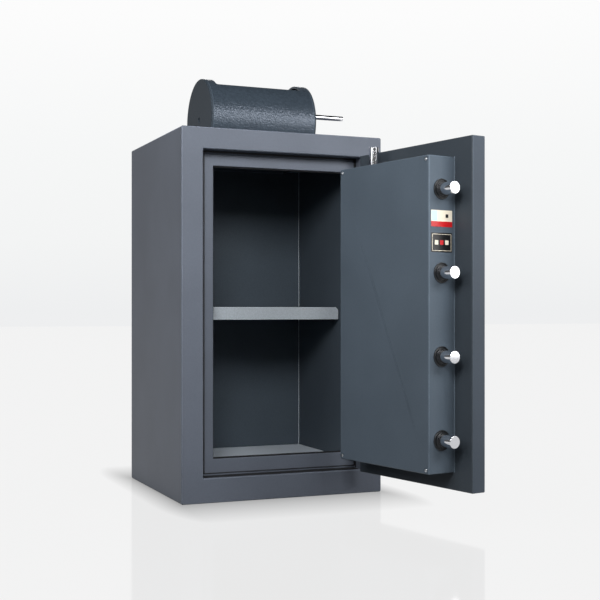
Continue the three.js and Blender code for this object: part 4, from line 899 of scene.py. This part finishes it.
# %% Edges of the plates
# Each plate piece: its edge radius in millimetres and its flush faces.
PLATES = {
    "outer_shell": (1.6, [shell_to_frame]),
    "front_frame": (1.8, [frame_to_shell]),
    "jamb_frame": (1.2, []),
    "inner_liner": (0.9, []),
    "shelf": (0.8, []),
    "shelf_rail_left": (0.5, []),
    "shelf_rail_right": (0.5, []),
    "drop_chute": (0.5, []),
    "hopper_housing": (1.2, [foot_to_roof, *pipe_to_end.values()]),
    "hopper_end_left": (1.1, [foot_to_roof, end_to_pipe["left"]]),
    "hopper_end_right": (1.1, [foot_to_roof, end_to_pipe["right"]]),
    "drum": (0.8, []),
    "drum_stop_block": (0.8, []),
    "crank_arm": (1.2, []),
    "door_pan": (0.7, [pan_to_sheet]),
    "door_inner_sheet": (2.4, [sheet_to_pan]),
    "bolt_box": (0.8, [box_to_sheet, box_to_cover]),
    "box_cover": (2.2, [cover_to_box]),
    **{"hinge_%s_leaf_%s" % (side, height): (1.0, [])
       for side in ("body", "door") for height in ("lower", "upper")},
    "lock_case": (1.5, []),
    "hard_plate": (0.8, []),
}
# The plates whose coat isn't their slot's usual one.
OWN_PAINT = {"door_inner_sheet": plate_coat, "door_pan": skin_coat,
             "hopper_end_left": hopper_end_coat, "hopper_end_right": hopper_end_coat}

for node, (edge, flushes) in PLATES.items():
    piece = eased_copy(node, edge * MM, flushes, material=OWN_PAINT.get(node))
    print(piece.name, len(piece.data.polygons), "faces")

# %% [markdown]
# ## Bolts and their guide rings
# The four side bolts are turned bars, chromed all over, with a small round at the end. Each slides in a
# black ring that has a wide flange, a groove and a raised collar, which shows as two dark rings with a
# lighter one between. One bolt and one ring are turned on the lathe, and the line tree sets the other three
# below them.

# %% Where the bolts stand
BOLTS = ["side_bolt_%d" % number for number in range(1, 5)]
RINGS = ["bolt_guide_%d" % number for number in range(1, 5)]

bolt_pitch = middle(BOLTS[0]).z - middle(BOLTS[1]).z
bolt_radius = extent(BOLTS[0]).z / 2
bolt_start = Vector((side_of(BOLTS[0], X, True, DOOR), middle(BOLTS[0]).y, middle(BOLTS[0]).z))
BOLT_LINE = DOOR @ Matrix.Translation(bolt_start) @ TO_LEFT
BOLT_STEP = (-bolt_pitch, 0, 0)
print("bolts every", round(bolt_pitch / MM, 1), "mm")

# %% A turned piece in its place
def placed(piece, place, replaces, material=None):
    """Moves a piece to its place and finishes it."""
    piece.data.transform(place)
    return settle(piece, replaces, material)


def turned_piece(name, profile, edge, place, replaces, step=None, material=None, steps=3):
    """A turned piece with eased ends. A step sets one for each of the solids it replaces, in a line."""
    piece = rough_piece(name, turned(profile), edge, steps)
    if step:
        finish = material or FINISH[slot_of[replaces[0]]]
        run_tree(piece, LINE, Count=len(replaces), Step=step, Material=finish)
    return placed(piece, place, replaces, material)


print("ready:", placed.__name__, turned_piece.__name__)

# %% Side bolts and guide rings
BOLT_ROUND = 1.2 * MM
RING_EDGE = 0.4 * MM
RING_FLANGE = 2.5 * MM
RING_GROOVE = 1.5 * MM
RING_GROOVE_RADIUS = 20.5 * MM
RING_COLLAR_RADIUS = 18 * MM
RING_SHANK = 16 * MM


def side_bolts():
    profile = bar(bolt_radius, 0, extent(BOLTS[0]).x)
    return turned_piece("side_bolts", profile, BOLT_ROUND, BOLT_LINE, BOLTS, BOLT_STEP)


def guide_rings():
    bore = bolt_radius + RING_EDGE
    seat = bolt_start.x - side_of("bolt_box", X, False, DOOR)
    collar = bolt_start.x - side_of(RINGS[0], X, False, DOOR)
    flange_radius = extent(RINGS[0]).z / 2
    groove_floor = seat + RING_FLANGE - RING_GROOVE
    profile = [
        (bore, seat - RING_SHANK), (RING_COLLAR_RADIUS, seat - RING_SHANK), (RING_COLLAR_RADIUS, seat),
        (flange_radius, seat), (flange_radius, seat + RING_FLANGE),
        (RING_GROOVE_RADIUS, seat + RING_FLANGE), (RING_GROOVE_RADIUS, groove_floor),
        (RING_COLLAR_RADIUS, groove_floor), (RING_COLLAR_RADIUS, collar), (bore, collar),
        (bore, seat - RING_SHANK),
    ]
    return turned_piece("guide_rings", profile, RING_EDGE, BOLT_LINE, RINGS, BOLT_STEP, steps=2)


print(len(side_bolts().data.polygons), "faces in the bolts")
print(len(guide_rings().data.polygons), "faces in the rings")

# %% [markdown]
# ## The other turned bars
# The top bolt, the grip of the crank and the hinge pins are plain bars with eased ends. The shaft of the
# drum was sprayed with the hopper, so its end in the recess is dark.

# %% Top bolt and its ring
TOP_BOLT_EDGE = 1.0 * MM


def top_bolt():
    size = extent("top_bolt")
    return turned_piece("turned_top_bolt", bar(size.x / 2, -size.z / 2, size.z / 2), TOP_BOLT_EDGE,
                        DOOR @ Matrix.Translation(middle("top_bolt")), ["top_bolt"])


def top_ring():
    size = extent("top_bolt_guide")
    profile = tube(size.x / 2, extent("top_bolt").x / 2 + RING_EDGE, -size.z / 2, size.z / 2)
    return turned_piece("turned_top_bolt_guide", profile, RING_EDGE,
                        DOOR @ Matrix.Translation(middle("top_bolt_guide")), ["top_bolt_guide"], steps=2)


print(top_bolt().name, top_ring().name)

# %% Crank grip and hinge pins
GRIP_ROUND = 1.4 * MM
PIN_HEAD = 3 * MM
PIN_RADIUS = 6 * MM
PIN_ROUND = 1.0 * MM
PINS = ["hinge_pin_lower", "hinge_pin_upper"]


def crank_grip():
    size = extent("crank_grip", BODY)
    place = Matrix.Translation(middle("crank_grip", BODY)) @ TO_RIGHT
    return turned_piece("turned_crank_grip", bar(size.z / 2, -size.x / 2, size.x / 2), GRIP_ROUND, place,
                        ["crank_grip"])


def hinge_pins():
    size, centre = extent(PINS[0], BODY), middle(PINS[0], BODY)
    head, half = size.x / 2, size.z / 2
    neck = half - PIN_HEAD
    profile = [(0, -half), (head, -half), (head, -neck), (PIN_RADIUS, -neck), (PIN_RADIUS, neck),
               (head, neck), (head, half), (0, half)]
    step = (0, 0, middle(PINS[1], BODY).z - centre.z)
    return turned_piece("hinge_pins", profile, PIN_ROUND, Matrix.Translation(centre), PINS, step, zinc_steel)


nodes["drum_axle_left"].data.materials[0] = hopper_coat
print(crank_grip().name, hinge_pins().name)

# %% [markdown]
# ## Cover screws
# Four pan-head screws hold the cover of the box. The head is a low dome with a cross recess, and the shank
# goes through the cover. The first screw is cut once, and a grid of two by two points sets all four.

# %% One screw
SCREW_DOME_STEPS = 6
SCREW_HEAD = 2 * MM
SCREW_RIM = 0.4 * MM
SCREW_RECESS_WIDTH = 1.1 * MM
SCREW_RECESS_REACH = 4.6 * MM
SCREW_RECESS_DEPTH = 1.2 * MM
SCREW_SHANK_RADIUS = 2.5 * MM
SCREW_SIDES = 32
SCREWS = ["cover_screw_%d" % number for number in range(1, 5)]


def screw_profile(shank, head_radius):
    quarter = [step * pi / 2 / SCREW_DOME_STEPS for step in range(SCREW_DOME_STEPS)]
    dome = [(head_radius * cos(angle), shank + SCREW_RIM + (SCREW_HEAD - SCREW_RIM) * sin(angle))
            for angle in quarter]
    return [(0, 0), (SCREW_SHANK_RADIUS, 0), (SCREW_SHANK_RADIUS, shank), (head_radius, shank),
            *dome, (0, shank + SCREW_HEAD)]


def cross_outline():
    half, reach = SCREW_RECESS_WIDTH / 2, SCREW_RECESS_REACH / 2
    return [(half, -reach), (half, -half), (reach, -half), (reach, half), (half, half), (half, reach),
            (-half, reach), (-half, half), (-reach, half), (-reach, -half), (-half, -half), (-half, -reach)]


print("screws", len(SCREWS), "with", SCREW_SIDES, "sides")

# %% Four screws at the corners
def cover_screws():
    centres = [middle(node) for node in SCREWS]
    low, high = [Vector([pick(centre[axis] for centre in centres) for axis in (X, Y, Z)])
                 for pick in (min, max)]
    size = extent(SCREWS[0])
    top = size.y
    piece = rough_piece("cover_screws", turned(screw_profile(top - SCREW_HEAD, size.x / 2), SCREW_SIDES))
    combine(piece, plate([cross_outline()], top - SCREW_RECESS_DEPTH, top + MM))
    run_tree(piece, CORNERS, Width=high.x - low.x, Height=high.z - low.z, Material=zinc_steel)
    place = ((low.x + high.x) / 2, side_of(SCREWS[0], Y, False, DOOR), (low.z + high.z) / 2)
    return placed(piece, DOOR @ Matrix.Translation(place) @ TO_BACK, SCREWS, zinc_steel)


print("cover screws", len(cover_screws().data.polygons), "faces")

# %% [markdown]
# ## Handle on the door's face
# The photograph shows only the inside of the door. Its outer face has what drives the mechanism behind it,
# and the first of these is a lever handle: a turned hub with a tapered bar that is rounded like a soap bar,
# all chromed.

# %% Lever handle
HUB_RADIUS = 26 * MM
HUB_ROUND = 3.0 * MM
LEVER_BACK = 7 * MM
LEVER_THICKNESS = 14 * MM
LEVER_ROOT = 13 * MM
LEVER_TIP = 9 * MM
LEVER_LIFT = 3 * MM
LEVER_SECTIONS = 28
LEVER_SIDES = 40
LEVER_SQUARENESS = 3.0
TIP_TURNS = (0.9, 0.6, 0.35, 0.15)


def outer_place(node):
    """The door's outer side at a solid's centre: Z points out of the door."""
    centre = middle(node)
    return DOOR @ Matrix.Translation((centre.x, side_of(node, Y, True, DOOR), centre.z)) @ TO_FRONT


def lever(reach):
    """A tapered bar with a rounded section, from the hub's axis to a round tip."""
    def section(share):
        past_tip = max(0.0, (share - 1) * reach / LEVER_TIP + 1)
        swell = max(0.0, 1 - past_tip ** 2) ** 0.5
        half_width = (LEVER_ROOT + (LEVER_TIP - LEVER_ROOT) * share) * swell
        height = LEVER_BACK + LEVER_THICKNESS / 2 + LEVER_LIFT * share * share
        ring = []
        for side in range(LEVER_SIDES):
            c, s = cos(2 * pi * side / LEVER_SIDES), sin(2 * pi * side / LEVER_SIDES)
            bulge = (abs(c) ** LEVER_SQUARENESS + abs(s) ** LEVER_SQUARENESS) ** (-1 / LEVER_SQUARENESS)
            rise = LEVER_THICKNESS / 2 * swell * bulge * s
            ring.append((reach * share, half_width * bulge * c, height + rise))
        return ring

    def build(bm):
        shares = [index / LEVER_SECTIONS for index in range(LEVER_SECTIONS)]
        shares += [1 - LEVER_TIP / reach * (1 - cos(turn)) for turn in TIP_TURNS]
        rings = [[bm.verts.new(point) for point in section(share)] for share in sorted(shares)]
        tip = bm.verts.new((reach, 0, LEVER_BACK + LEVER_THICKNESS / 2 + LEVER_LIFT))
        for near, far in zip(rings, rings[1:]):
            for side in range(LEVER_SIDES):
                bm.faces.new((near[side - 1], near[side], far[side], far[side - 1]))
        bm.faces.new(rings[0])
        for side in range(LEVER_SIDES):
            bm.faces.new((rings[-1][side - 1], rings[-1][side], tip))
    return build


def handle():
    low, high = local_box("handle", DOOR)
    piece = rough_piece("lever_handle", turned(bar(HUB_RADIUS, 0, high.y - low.y)), HUB_ROUND, steps=4)
    combine(piece, lever(high.x - low.x - HUB_RADIUS), operation="UNION")
    axis = Matrix.Translation((low.x + HUB_RADIUS, high.y, (low.z + high.z) / 2))
    return placed(piece, DOOR @ axis @ TO_FRONT, ["handle"])


print("handle", len(handle().data.polygons), "faces")

# %% [markdown]
# ## Dial and its ring
# The combination dial is black, with a fluted knob on it. Its hundred marks and the knob's flutes are
# copies about one axis, which is the ring tree's work. The numbers are plain ones at every tenth mark, so
# that they mean nothing but a place on the dial.

# %% Dial body
DIAL_RADIUS = 36 * MM
DIAL_THICKNESS = 7 * MM
DIAL_SLOPE = 3 * MM
KNOB_RADIUS = 20 * MM
KNOB_TAPER = 2 * MM
KNOB_EDGE = 1.0 * MM
FLUTES = 24
FLUTE_RADIUS = 1.6 * MM
FLUTE_RISE = 2 * MM
FLUTE_SIDES = 16


def dial():
    height = extent("dial").y
    profile = [(0, 0), (DIAL_RADIUS, 0), (DIAL_RADIUS, DIAL_THICKNESS - DIAL_SLOPE),
               (DIAL_RADIUS - DIAL_SLOPE, DIAL_THICKNESS), (KNOB_RADIUS, DIAL_THICKNESS),
               (KNOB_RADIUS - KNOB_TAPER, height), (0, height)]
    piece = rough_piece("dial_and_knob", turned(profile), KNOB_EDGE)
    cutter = turned(bar(FLUTE_RADIUS, DIAL_THICKNESS + FLUTE_RISE, height + MM), FLUTE_SIDES)
    flutes = rough_piece("flutes", cutter, place=Matrix.Translation((KNOB_RADIUS - KNOB_TAPER / 4, 0, 0)))
    run_tree(flutes, RING, Count=FLUTES, Material=black_nylon)
    cut_with(piece, flutes)
    return placed(piece, outer_place("dial"), ["dial"], dial_black)


# Enamel on the dial: deep black with a clear shine under the white marks.
dial_black = matt("black enamelled dial", "0e0f11", 0.28, 2.0, 0.00001)
print("dial", len(dial().data.polygons), "faces")

# %% Dial marks and numbers
MARK_OUTER = 32.5 * MM
SHORT_MARK = 2.2 * MM
LONG_MARK = 4.0 * MM
MARK_WIDTH = 0.45 * MM
MARK_HEIGHT = 0.15 * MM
NUMBER_RADIUS = 25.2 * MM
NUMBER_SIZE = 5.2 * MM
NUMBER_WELD = 0.000001
NUMBER_STEP = 10
DIAL_PARTS = 100
# Filling paint in the marks: flat white that reads against the enamel.
white_paint = matt("white filling paint", "e9e9e6", 0.5, 1.5, 0.00001, tone=0.03)


def on_dial(piece):
    """Puts white marks on the dial's face, to turn with it."""
    piece.data.transform(outer_place("dial"))
    return settle(piece, [], white_paint, body_of["dial"], "mark_white")


def mark_ring(name, count, length, width):
    """Marks about the dial's axis, from the outer circle inwards."""
    mark = rect(-width / 2, width / 2, MARK_OUTER - length, MARK_OUTER)
    piece = rough_piece(name, plate([mark], DIAL_THICKNESS - MARK_HEIGHT, DIAL_THICKNESS + MARK_HEIGHT))
    run_tree(piece, RING, Count=count, Material=white_paint)
    return on_dial(piece)


def number_piece(value):
    """A number that stands upright when its place on the dial is at the top."""
    text = bpy.data.curves.new("number", "FONT")
    text.body = str(value)
    text.size = NUMBER_SIZE
    text.align_x, text.align_y = "CENTER", "CENTER"
    text.extrude = MARK_HEIGHT
    source = new_object("number", text)
    graph = bpy.context.evaluated_depsgraph_get()
    mesh = bpy.data.meshes.new_from_object(source.evaluated_get(graph))
    bpy.data.objects.remove(source)
    turn = Matrix.Rotation(-2 * pi * value / DIAL_PARTS, 4, "Z")
    mesh.transform(turn @ Matrix.Translation((0, NUMBER_RADIUS, DIAL_THICKNESS)))
    return mesh


def dial_numbers():
    bm = bmesh.new()
    for value in range(0, DIAL_PARTS, NUMBER_STEP):
        bm.from_mesh(number_piece(value))
    return on_dial(new_object("dial_numbers", mesh_of(bm, "dial_numbers", NUMBER_WELD)))


mark_ring("dial_short_marks", DIAL_PARTS, SHORT_MARK, MARK_WIDTH)
mark_ring("dial_long_marks", DIAL_PARTS // NUMBER_STEP, LONG_MARK, MARK_WIDTH * 2)
print("numbers", len(dial_numbers().data.polygons), "faces")

# %% Dial ring with its index mark
RING_RADIUS = 46 * MM
RING_SLOPE = 2 * MM
RING_SEAT = 2 * MM
RING_GAP = 1 * MM
RING_ROUND = 0.8 * MM
INDEX_LENGTH = 5.5 * MM
INDEX_WIDTH = 1.2 * MM
# Satin nickel on the dial's ring: a soft, warm silver around the black.
satin_nickel = metal("satin nickel plate", "b4b2ac", 0.27, mark_mm=0.5)


def dial_ring():
    height = extent("dial_ring").y
    bore = extent("dial_spindle").x / 2 + RING_GAP
    well = DIAL_RADIUS + RING_GAP
    profile = [(bore, 0), (RING_RADIUS, 0), (RING_RADIUS - RING_SLOPE, height), (well, height),
               (well, RING_SEAT), (bore, RING_SEAT), (bore, 0)]
    turned_piece("turned_dial_ring", profile, RING_ROUND, outer_place("dial_ring"), ["dial_ring"],
                 material=satin_nickel)
    centre = (well + RING_RADIUS - RING_SLOPE) / 2
    index = rect(-INDEX_WIDTH / 2, INDEX_WIDTH / 2, centre - INDEX_LENGTH / 2, centre + INDEX_LENGTH / 2)
    return make_piece("dial_index", plate([index], height - MARK_HEIGHT, height + MARK_HEIGHT), dial_black,
                      "door", "label_black", outer_place("dial_ring"))


print(dial_ring().name)

# %% [markdown]
# ## Weld beads
# The hopper is welded to the roof all round its foot, and the hinge leaves to the frame and the door. A
# weld is a bead with ripples, one for each time the welder's hand moved on, and paint has gone over it. A
# smooth bead in the shelf's light grey runs down the room's back corner and draws a light line there. The
# bead tree draws each one along a path of points.

# %% A bead between points
WELD_RIPPLE = 3.4 * MM
RIPPLE_SHARE = 0.08


def bead(name, points, radius, material, body, slot, ripple=RIPPLE_SHARE, closed=False):
    """A bead along straight runs between the points given."""
    mesh = bpy.data.meshes.new(name)
    runs = [(index, index + 1) for index in range(len(points) - 1)] + [(len(points) - 1, 0)] * closed
    mesh.from_pydata([tuple(point) for point in points], runs, [])
    piece = new_object(name, mesh)
    values = {"Radius": radius, "Ripple": WELD_RIPPLE, "Ripple Share": ripple, "Material": material}
    run_tree(piece, BEAD, **values)
    return settle(piece, [], material, body, slot)


print("ripples of", round(WELD_RIPPLE / MM, 1), "mm")

# %% Beads on the body
FOOT_WELD = 2.6 * MM
SEAM_BEAD = 1.2 * MM
SEAM_RIPPLE = 0.02
SEAM_END = 3 * MM
LINER_SHEET = 2 * MM


def foot_weld():
    """The weld around the hopper's foot."""
    left, right = side_of("hopper_end_left", X, False), side_of("hopper_end_right", X, True)
    foot = [v.co.y for v in nodes["hopper_housing"].data.vertices if v.co.z < ROOF + MM]
    front, back = min(foot), max(foot)
    corners = [(left, front, ROOF), (right, front, ROOF), (right, back, ROOF), (left, back, ROOF)]
    return bead("hopper_foot_weld", corners, FOOT_WELD, hopper_coat, "body", "hopper_paint", closed=True)


def room_seam():
    """A thin light bead down the corner where the back of the room meets its right wall."""
    low, high = local_box("inner_liner")
    x, y = high.x - LINER_SHEET, high.y - LINER_SHEET
    corner = [(x, y, low.z + SEAM_END), (x, y, high.z - SEAM_END)]
    return bead("room_corner_bead", corner, SEAM_BEAD, shelf_coat, "body", "shelf_paint", ripple=SEAM_RIPPLE)


print(foot_weld().name, room_seam().name)

# %% Beads on the door
LEAF_WELD = 2.0 * MM
LEAF_WELD_RUN = 30 * MM
BOX_WELD = 1.7 * MM
BOX_RIPPLE = 0.03


def box_weld():
    """The box is welded to the inner sheet along its free side."""
    low, high = local_box("bolt_box", DOOR)
    run = [DOOR @ Vector((low.x, SHEET_BACK, low.z)), DOOR @ Vector((low.x, SHEET_BACK, high.z))]
    return bead("box_weld", run, BOX_WELD, door_coat, "door", "door_paint", ripple=BOX_RIPPLE)


def leaf_weld(node, body, matrix, far, near):
    """Three sides of a hinge leaf, on the face that it lies on."""
    low, high = local_box(node, matrix)
    corners = (near, low.z), (far, low.z), (far, high.z), (near, high.z)
    points = [matrix @ Vector((x, high.y, z)) for x, z in corners]
    return bead(node + "_weld", points, LEAF_WELD, FINISH[slot_of[node]], body, slot_of[node])


print(box_weld().name)
for height in ("lower", "upper"):
    for body, matrix, high, run in (("door", DOOR, False, LEAF_WELD_RUN),
                                    ("body", BODY, True, -LEAF_WELD_RUN)):
        leaf = "hinge_%s_leaf_%s" % (body, height)
        edge = side_of(leaf, X, high, matrix)
        print(leaf_weld(leaf, body, matrix, edge, edge + run).name)

# %% [markdown]
# ## Sheet on the room's floor
# A loose steel sheet lies on the floor of the room and takes the wear. Its pale paint is painted light: it
# stands for the light that falls in at the front. It is a plain plate with rounded corners, cut a little
# short on all sides so that it can be lifted.

# %% Floor sheet
FLOOR_SHEET = 2 * MM
FLOOR_SHEET_FRONT_GAP = 3 * MM
FLOOR_SHEET_GAP = 1 * MM
FLOOR_SHEET_ROUND = 1 * MM
FLOOR_SHEET_EDGE = 0.3 * MM


def floor_sheet():
    low, high = local_box("inner_liner")
    inset = LINER_SHEET + FLOOR_SHEET_GAP
    front = side_of("jamb_frame", Y, True) + FLOOR_SHEET_FRONT_GAP
    outline = rounded_rect(low.x + inset, high.x - inset, front, high.y - inset, FLOOR_SHEET_ROUND)
    foot = low.z + LINER_SHEET
    return make_piece("room_floor_plate", plate([outline], foot, foot + FLOOR_SHEET), painted_light_sheet_coat,
                      "body", "shelf_paint", edge=FLOOR_SHEET_EDGE)


print(floor_sheet().name)

# %% [markdown]
# ## Rubber strips around the opening
# Three strips of black rubber draw the dark lines around the opening: a flat one on the lip that the door
# shuts on, an edging inside the lip's opening, and a thin one on the floor of the rebate. They are cut from
# sheet and stuck on after the paint. The strip on the lip and the one on the rebate's floor are painted
# shade: they lie where the frame's edge casts its shadow. The edging draws a dark line inside the opening.
# The two that face the front are flat rings, so one function cuts both.

# %% Rubber rings
STRIP_GAP = 0.08 * MM
STRIP_EDGE = 0.3 * MM
STRIP_ROUND = 2 * MM
STRIP_THICK = 1.2 * MM
STRIP_INSET = 6.6 * MM
STRIP_FOOT = 11.5 * MM
STRIP_WIDTH = 4 * MM
STRIP_LOW_WIDTH = 2.4 * MM
STRIP_LOCK_SIDE = 17 * MM
LIP_ROUND = 2 * MM
EDGING = 2.3 * MM
EDGING_DEPTH = 15 * MM


def front_ring(name, outer, inner, y, depth):
    """A flat ring of black rubber that faces the front, its back at y."""
    rings = [rounded_rect(*outer, STRIP_ROUND), rounded_rect(*inner, STRIP_ROUND)]
    place = Matrix.Translation((0, y, 0)) @ TO_FRONT
    return make_piece(name, plate(rings, STRIP_GAP, depth), seal_rubber, "body", "seal_rubber",
                      place, STRIP_EDGE)


def rebate_strip():
    """Painted shade: a black strip on the lip that the door shuts on, where the frame's edge casts its shadow,
    widest on the lock's side.
    """
    low, high = local_box("door_seal")
    left, right = low.x + STRIP_INSET, high.x - STRIP_INSET
    foot, top = low.z + STRIP_FOOT, high.z - STRIP_INSET
    inner = (left + STRIP_LOCK_SIDE, right - STRIP_WIDTH, foot + STRIP_LOW_WIDTH, top - STRIP_WIDTH)
    lip_front = side_of("jamb_frame", Y, False)
    return front_ring("rebate_strip", (left, right, foot, top), inner, lip_front, STRIP_THICK)


def lip_edging():
    """The edging inside the lip's opening, found from the lip's own corners."""
    points = [v.co for v in nodes["jamb_frame"].data.vertices]
    sides = (max(p.x for p in points if p.x < 0), min(p.x for p in points if p.x > 0))
    ends = (max(p.z for p in points if p.z < ROOF / 2), min(p.z for p in points if p.z > ROOF / 2))
    outer, inner = [(sides[0] - reach, sides[1] + reach, ends[0] - reach, ends[1] + reach)
                    for reach in (LIP_ROUND - STRIP_GAP, LIP_ROUND - STRIP_GAP - EDGING)]
    return front_ring("lip_edging", outer, inner, side_of("jamb_frame", Y, True), EDGING_DEPTH)


print(rebate_strip().name, lip_edging().name)

# %% Threshold strip
SEAL_TO_REBATE = 7 * MM
THRESHOLD_INSET = 13 * MM
THRESHOLD_FRONT = 6 * MM
THRESHOLD_THICK = 0.9 * MM
THRESHOLD_EDGE = 0.2 * MM


def threshold_strip():
    """Painted shade: a black strip on the rebate's shaded floor, under the closed door."""
    low, high = local_box("door_seal")
    floor = low.z + SEAL_TO_REBATE + STRIP_GAP
    front = side_of("front_frame", Y, False) + THRESHOLD_FRONT
    back = side_of("jamb_frame", Y, False) - STRIP_THICK - STRIP_GAP
    outline = rounded_rect(low.x + THRESHOLD_INSET, high.x - THRESHOLD_INSET, front, back, STRIP_ROUND)
    return make_piece("threshold_strip", plate([outline], floor, floor + THRESHOLD_THICK), seal_rubber,
                      "body", "seal_rubber", edge=THRESHOLD_EDGE)


print(threshold_strip().name)

# %% [markdown]
# ## Labels
# Two printed labels sit on the side of the box. They hold plain blocks of colour, with no words and no
# picture. Each block is a thin sheet of vinyl of its own, as if cut and stuck one over the other. The upper
# label is a cream field with a red band at its foot, a blue block and a dark dot. The lower one is a black
# field with a thin cream border and a row of three squares.

# %% Printed vinyl
def vinyl(name, base_hex):
    """Printed vinyl under a clear film: a flat colour with an even, slightly wavy gloss."""
    return matt(name, base_hex, 0.3, 6.0, 0.00001, tone=0.03)


LABEL_FINISH = {
    "label_cream": vinyl("cream printed vinyl", "efe6d2"),
    "label_red": vinyl("red printed vinyl", "c4161c"),
    "label_blue": vinyl("pale blue printed vinyl", "c3e2e4"),
    "label_black": vinyl("black printed vinyl", "101012"),
}
print(len(LABEL_FINISH), "vinyls")

# %% Sheets of the two labels
LABEL_SHEET = 0.25 * MM
LABEL_ROUND = 1.2 * MM
BORDER_WIDTH = 0.9 * MM
# Each sheet: its slot, its layer, and its centre and size in millimetres, first along the depth of the box
# and then along its height, from the first bolt.
SHEETS = {
    "label_upper_field": ("label_cream", 0, (0, 61), (-66, 37)),
    "label_upper_band": ("label_red", 1, (0, 61), (-78.5, 12)),
    "label_upper_block": ("label_blue", 1, (21.5, 16), (-60, 23)),
    "label_upper_dot": ("label_black", 1, (-15.25, 8), (-60, 8)),
    "label_lower_field": ("label_black", 0, (0, 61), (-119.5, 43.5)),
    "label_lower_border": ("label_cream", 1, (0, 55), (-119.5, 37.5)),
    "label_lower_square_1": ("label_cream", 1, (-15, 10), (-119.5, 10)),
    "label_lower_square_2": ("label_red", 1, (0, 10), (-119.5, 10)),
    "label_lower_square_3": ("label_cream", 1, (15, 10), (-119.5, 10)),
}
HOLLOW = "label_lower_border"


def block(depth, height, inset=0.0):
    """The outline of a block, made smaller by the inset on all sides."""
    sides = [(centre * MM - size * MM / 2 + inset, centre * MM + size * MM / 2 - inset)
             for centre, size in (height, depth)]
    return rounded_rect(*sides[0], *sides[1], LABEL_ROUND)


def label(name, slot, layer, depth, height):
    """A sheet on the side of the box, at its layer."""
    low = bolt_start.x - side_of("bolt_box", X, False, DOOR) + layer * LABEL_SHEET
    loops = [block(depth, height)]
    if name == HOLLOW:
        loops.append(block(depth, height, BORDER_WIDTH))
    return make_piece(name, plate(loops, low, low + LABEL_SHEET), LABEL_FINISH[slot], "door", slot, BOLT_LINE)


for name, sheet in SHEETS.items():
    label(name, *sheet)
print(len(SHEETS), "sheets")
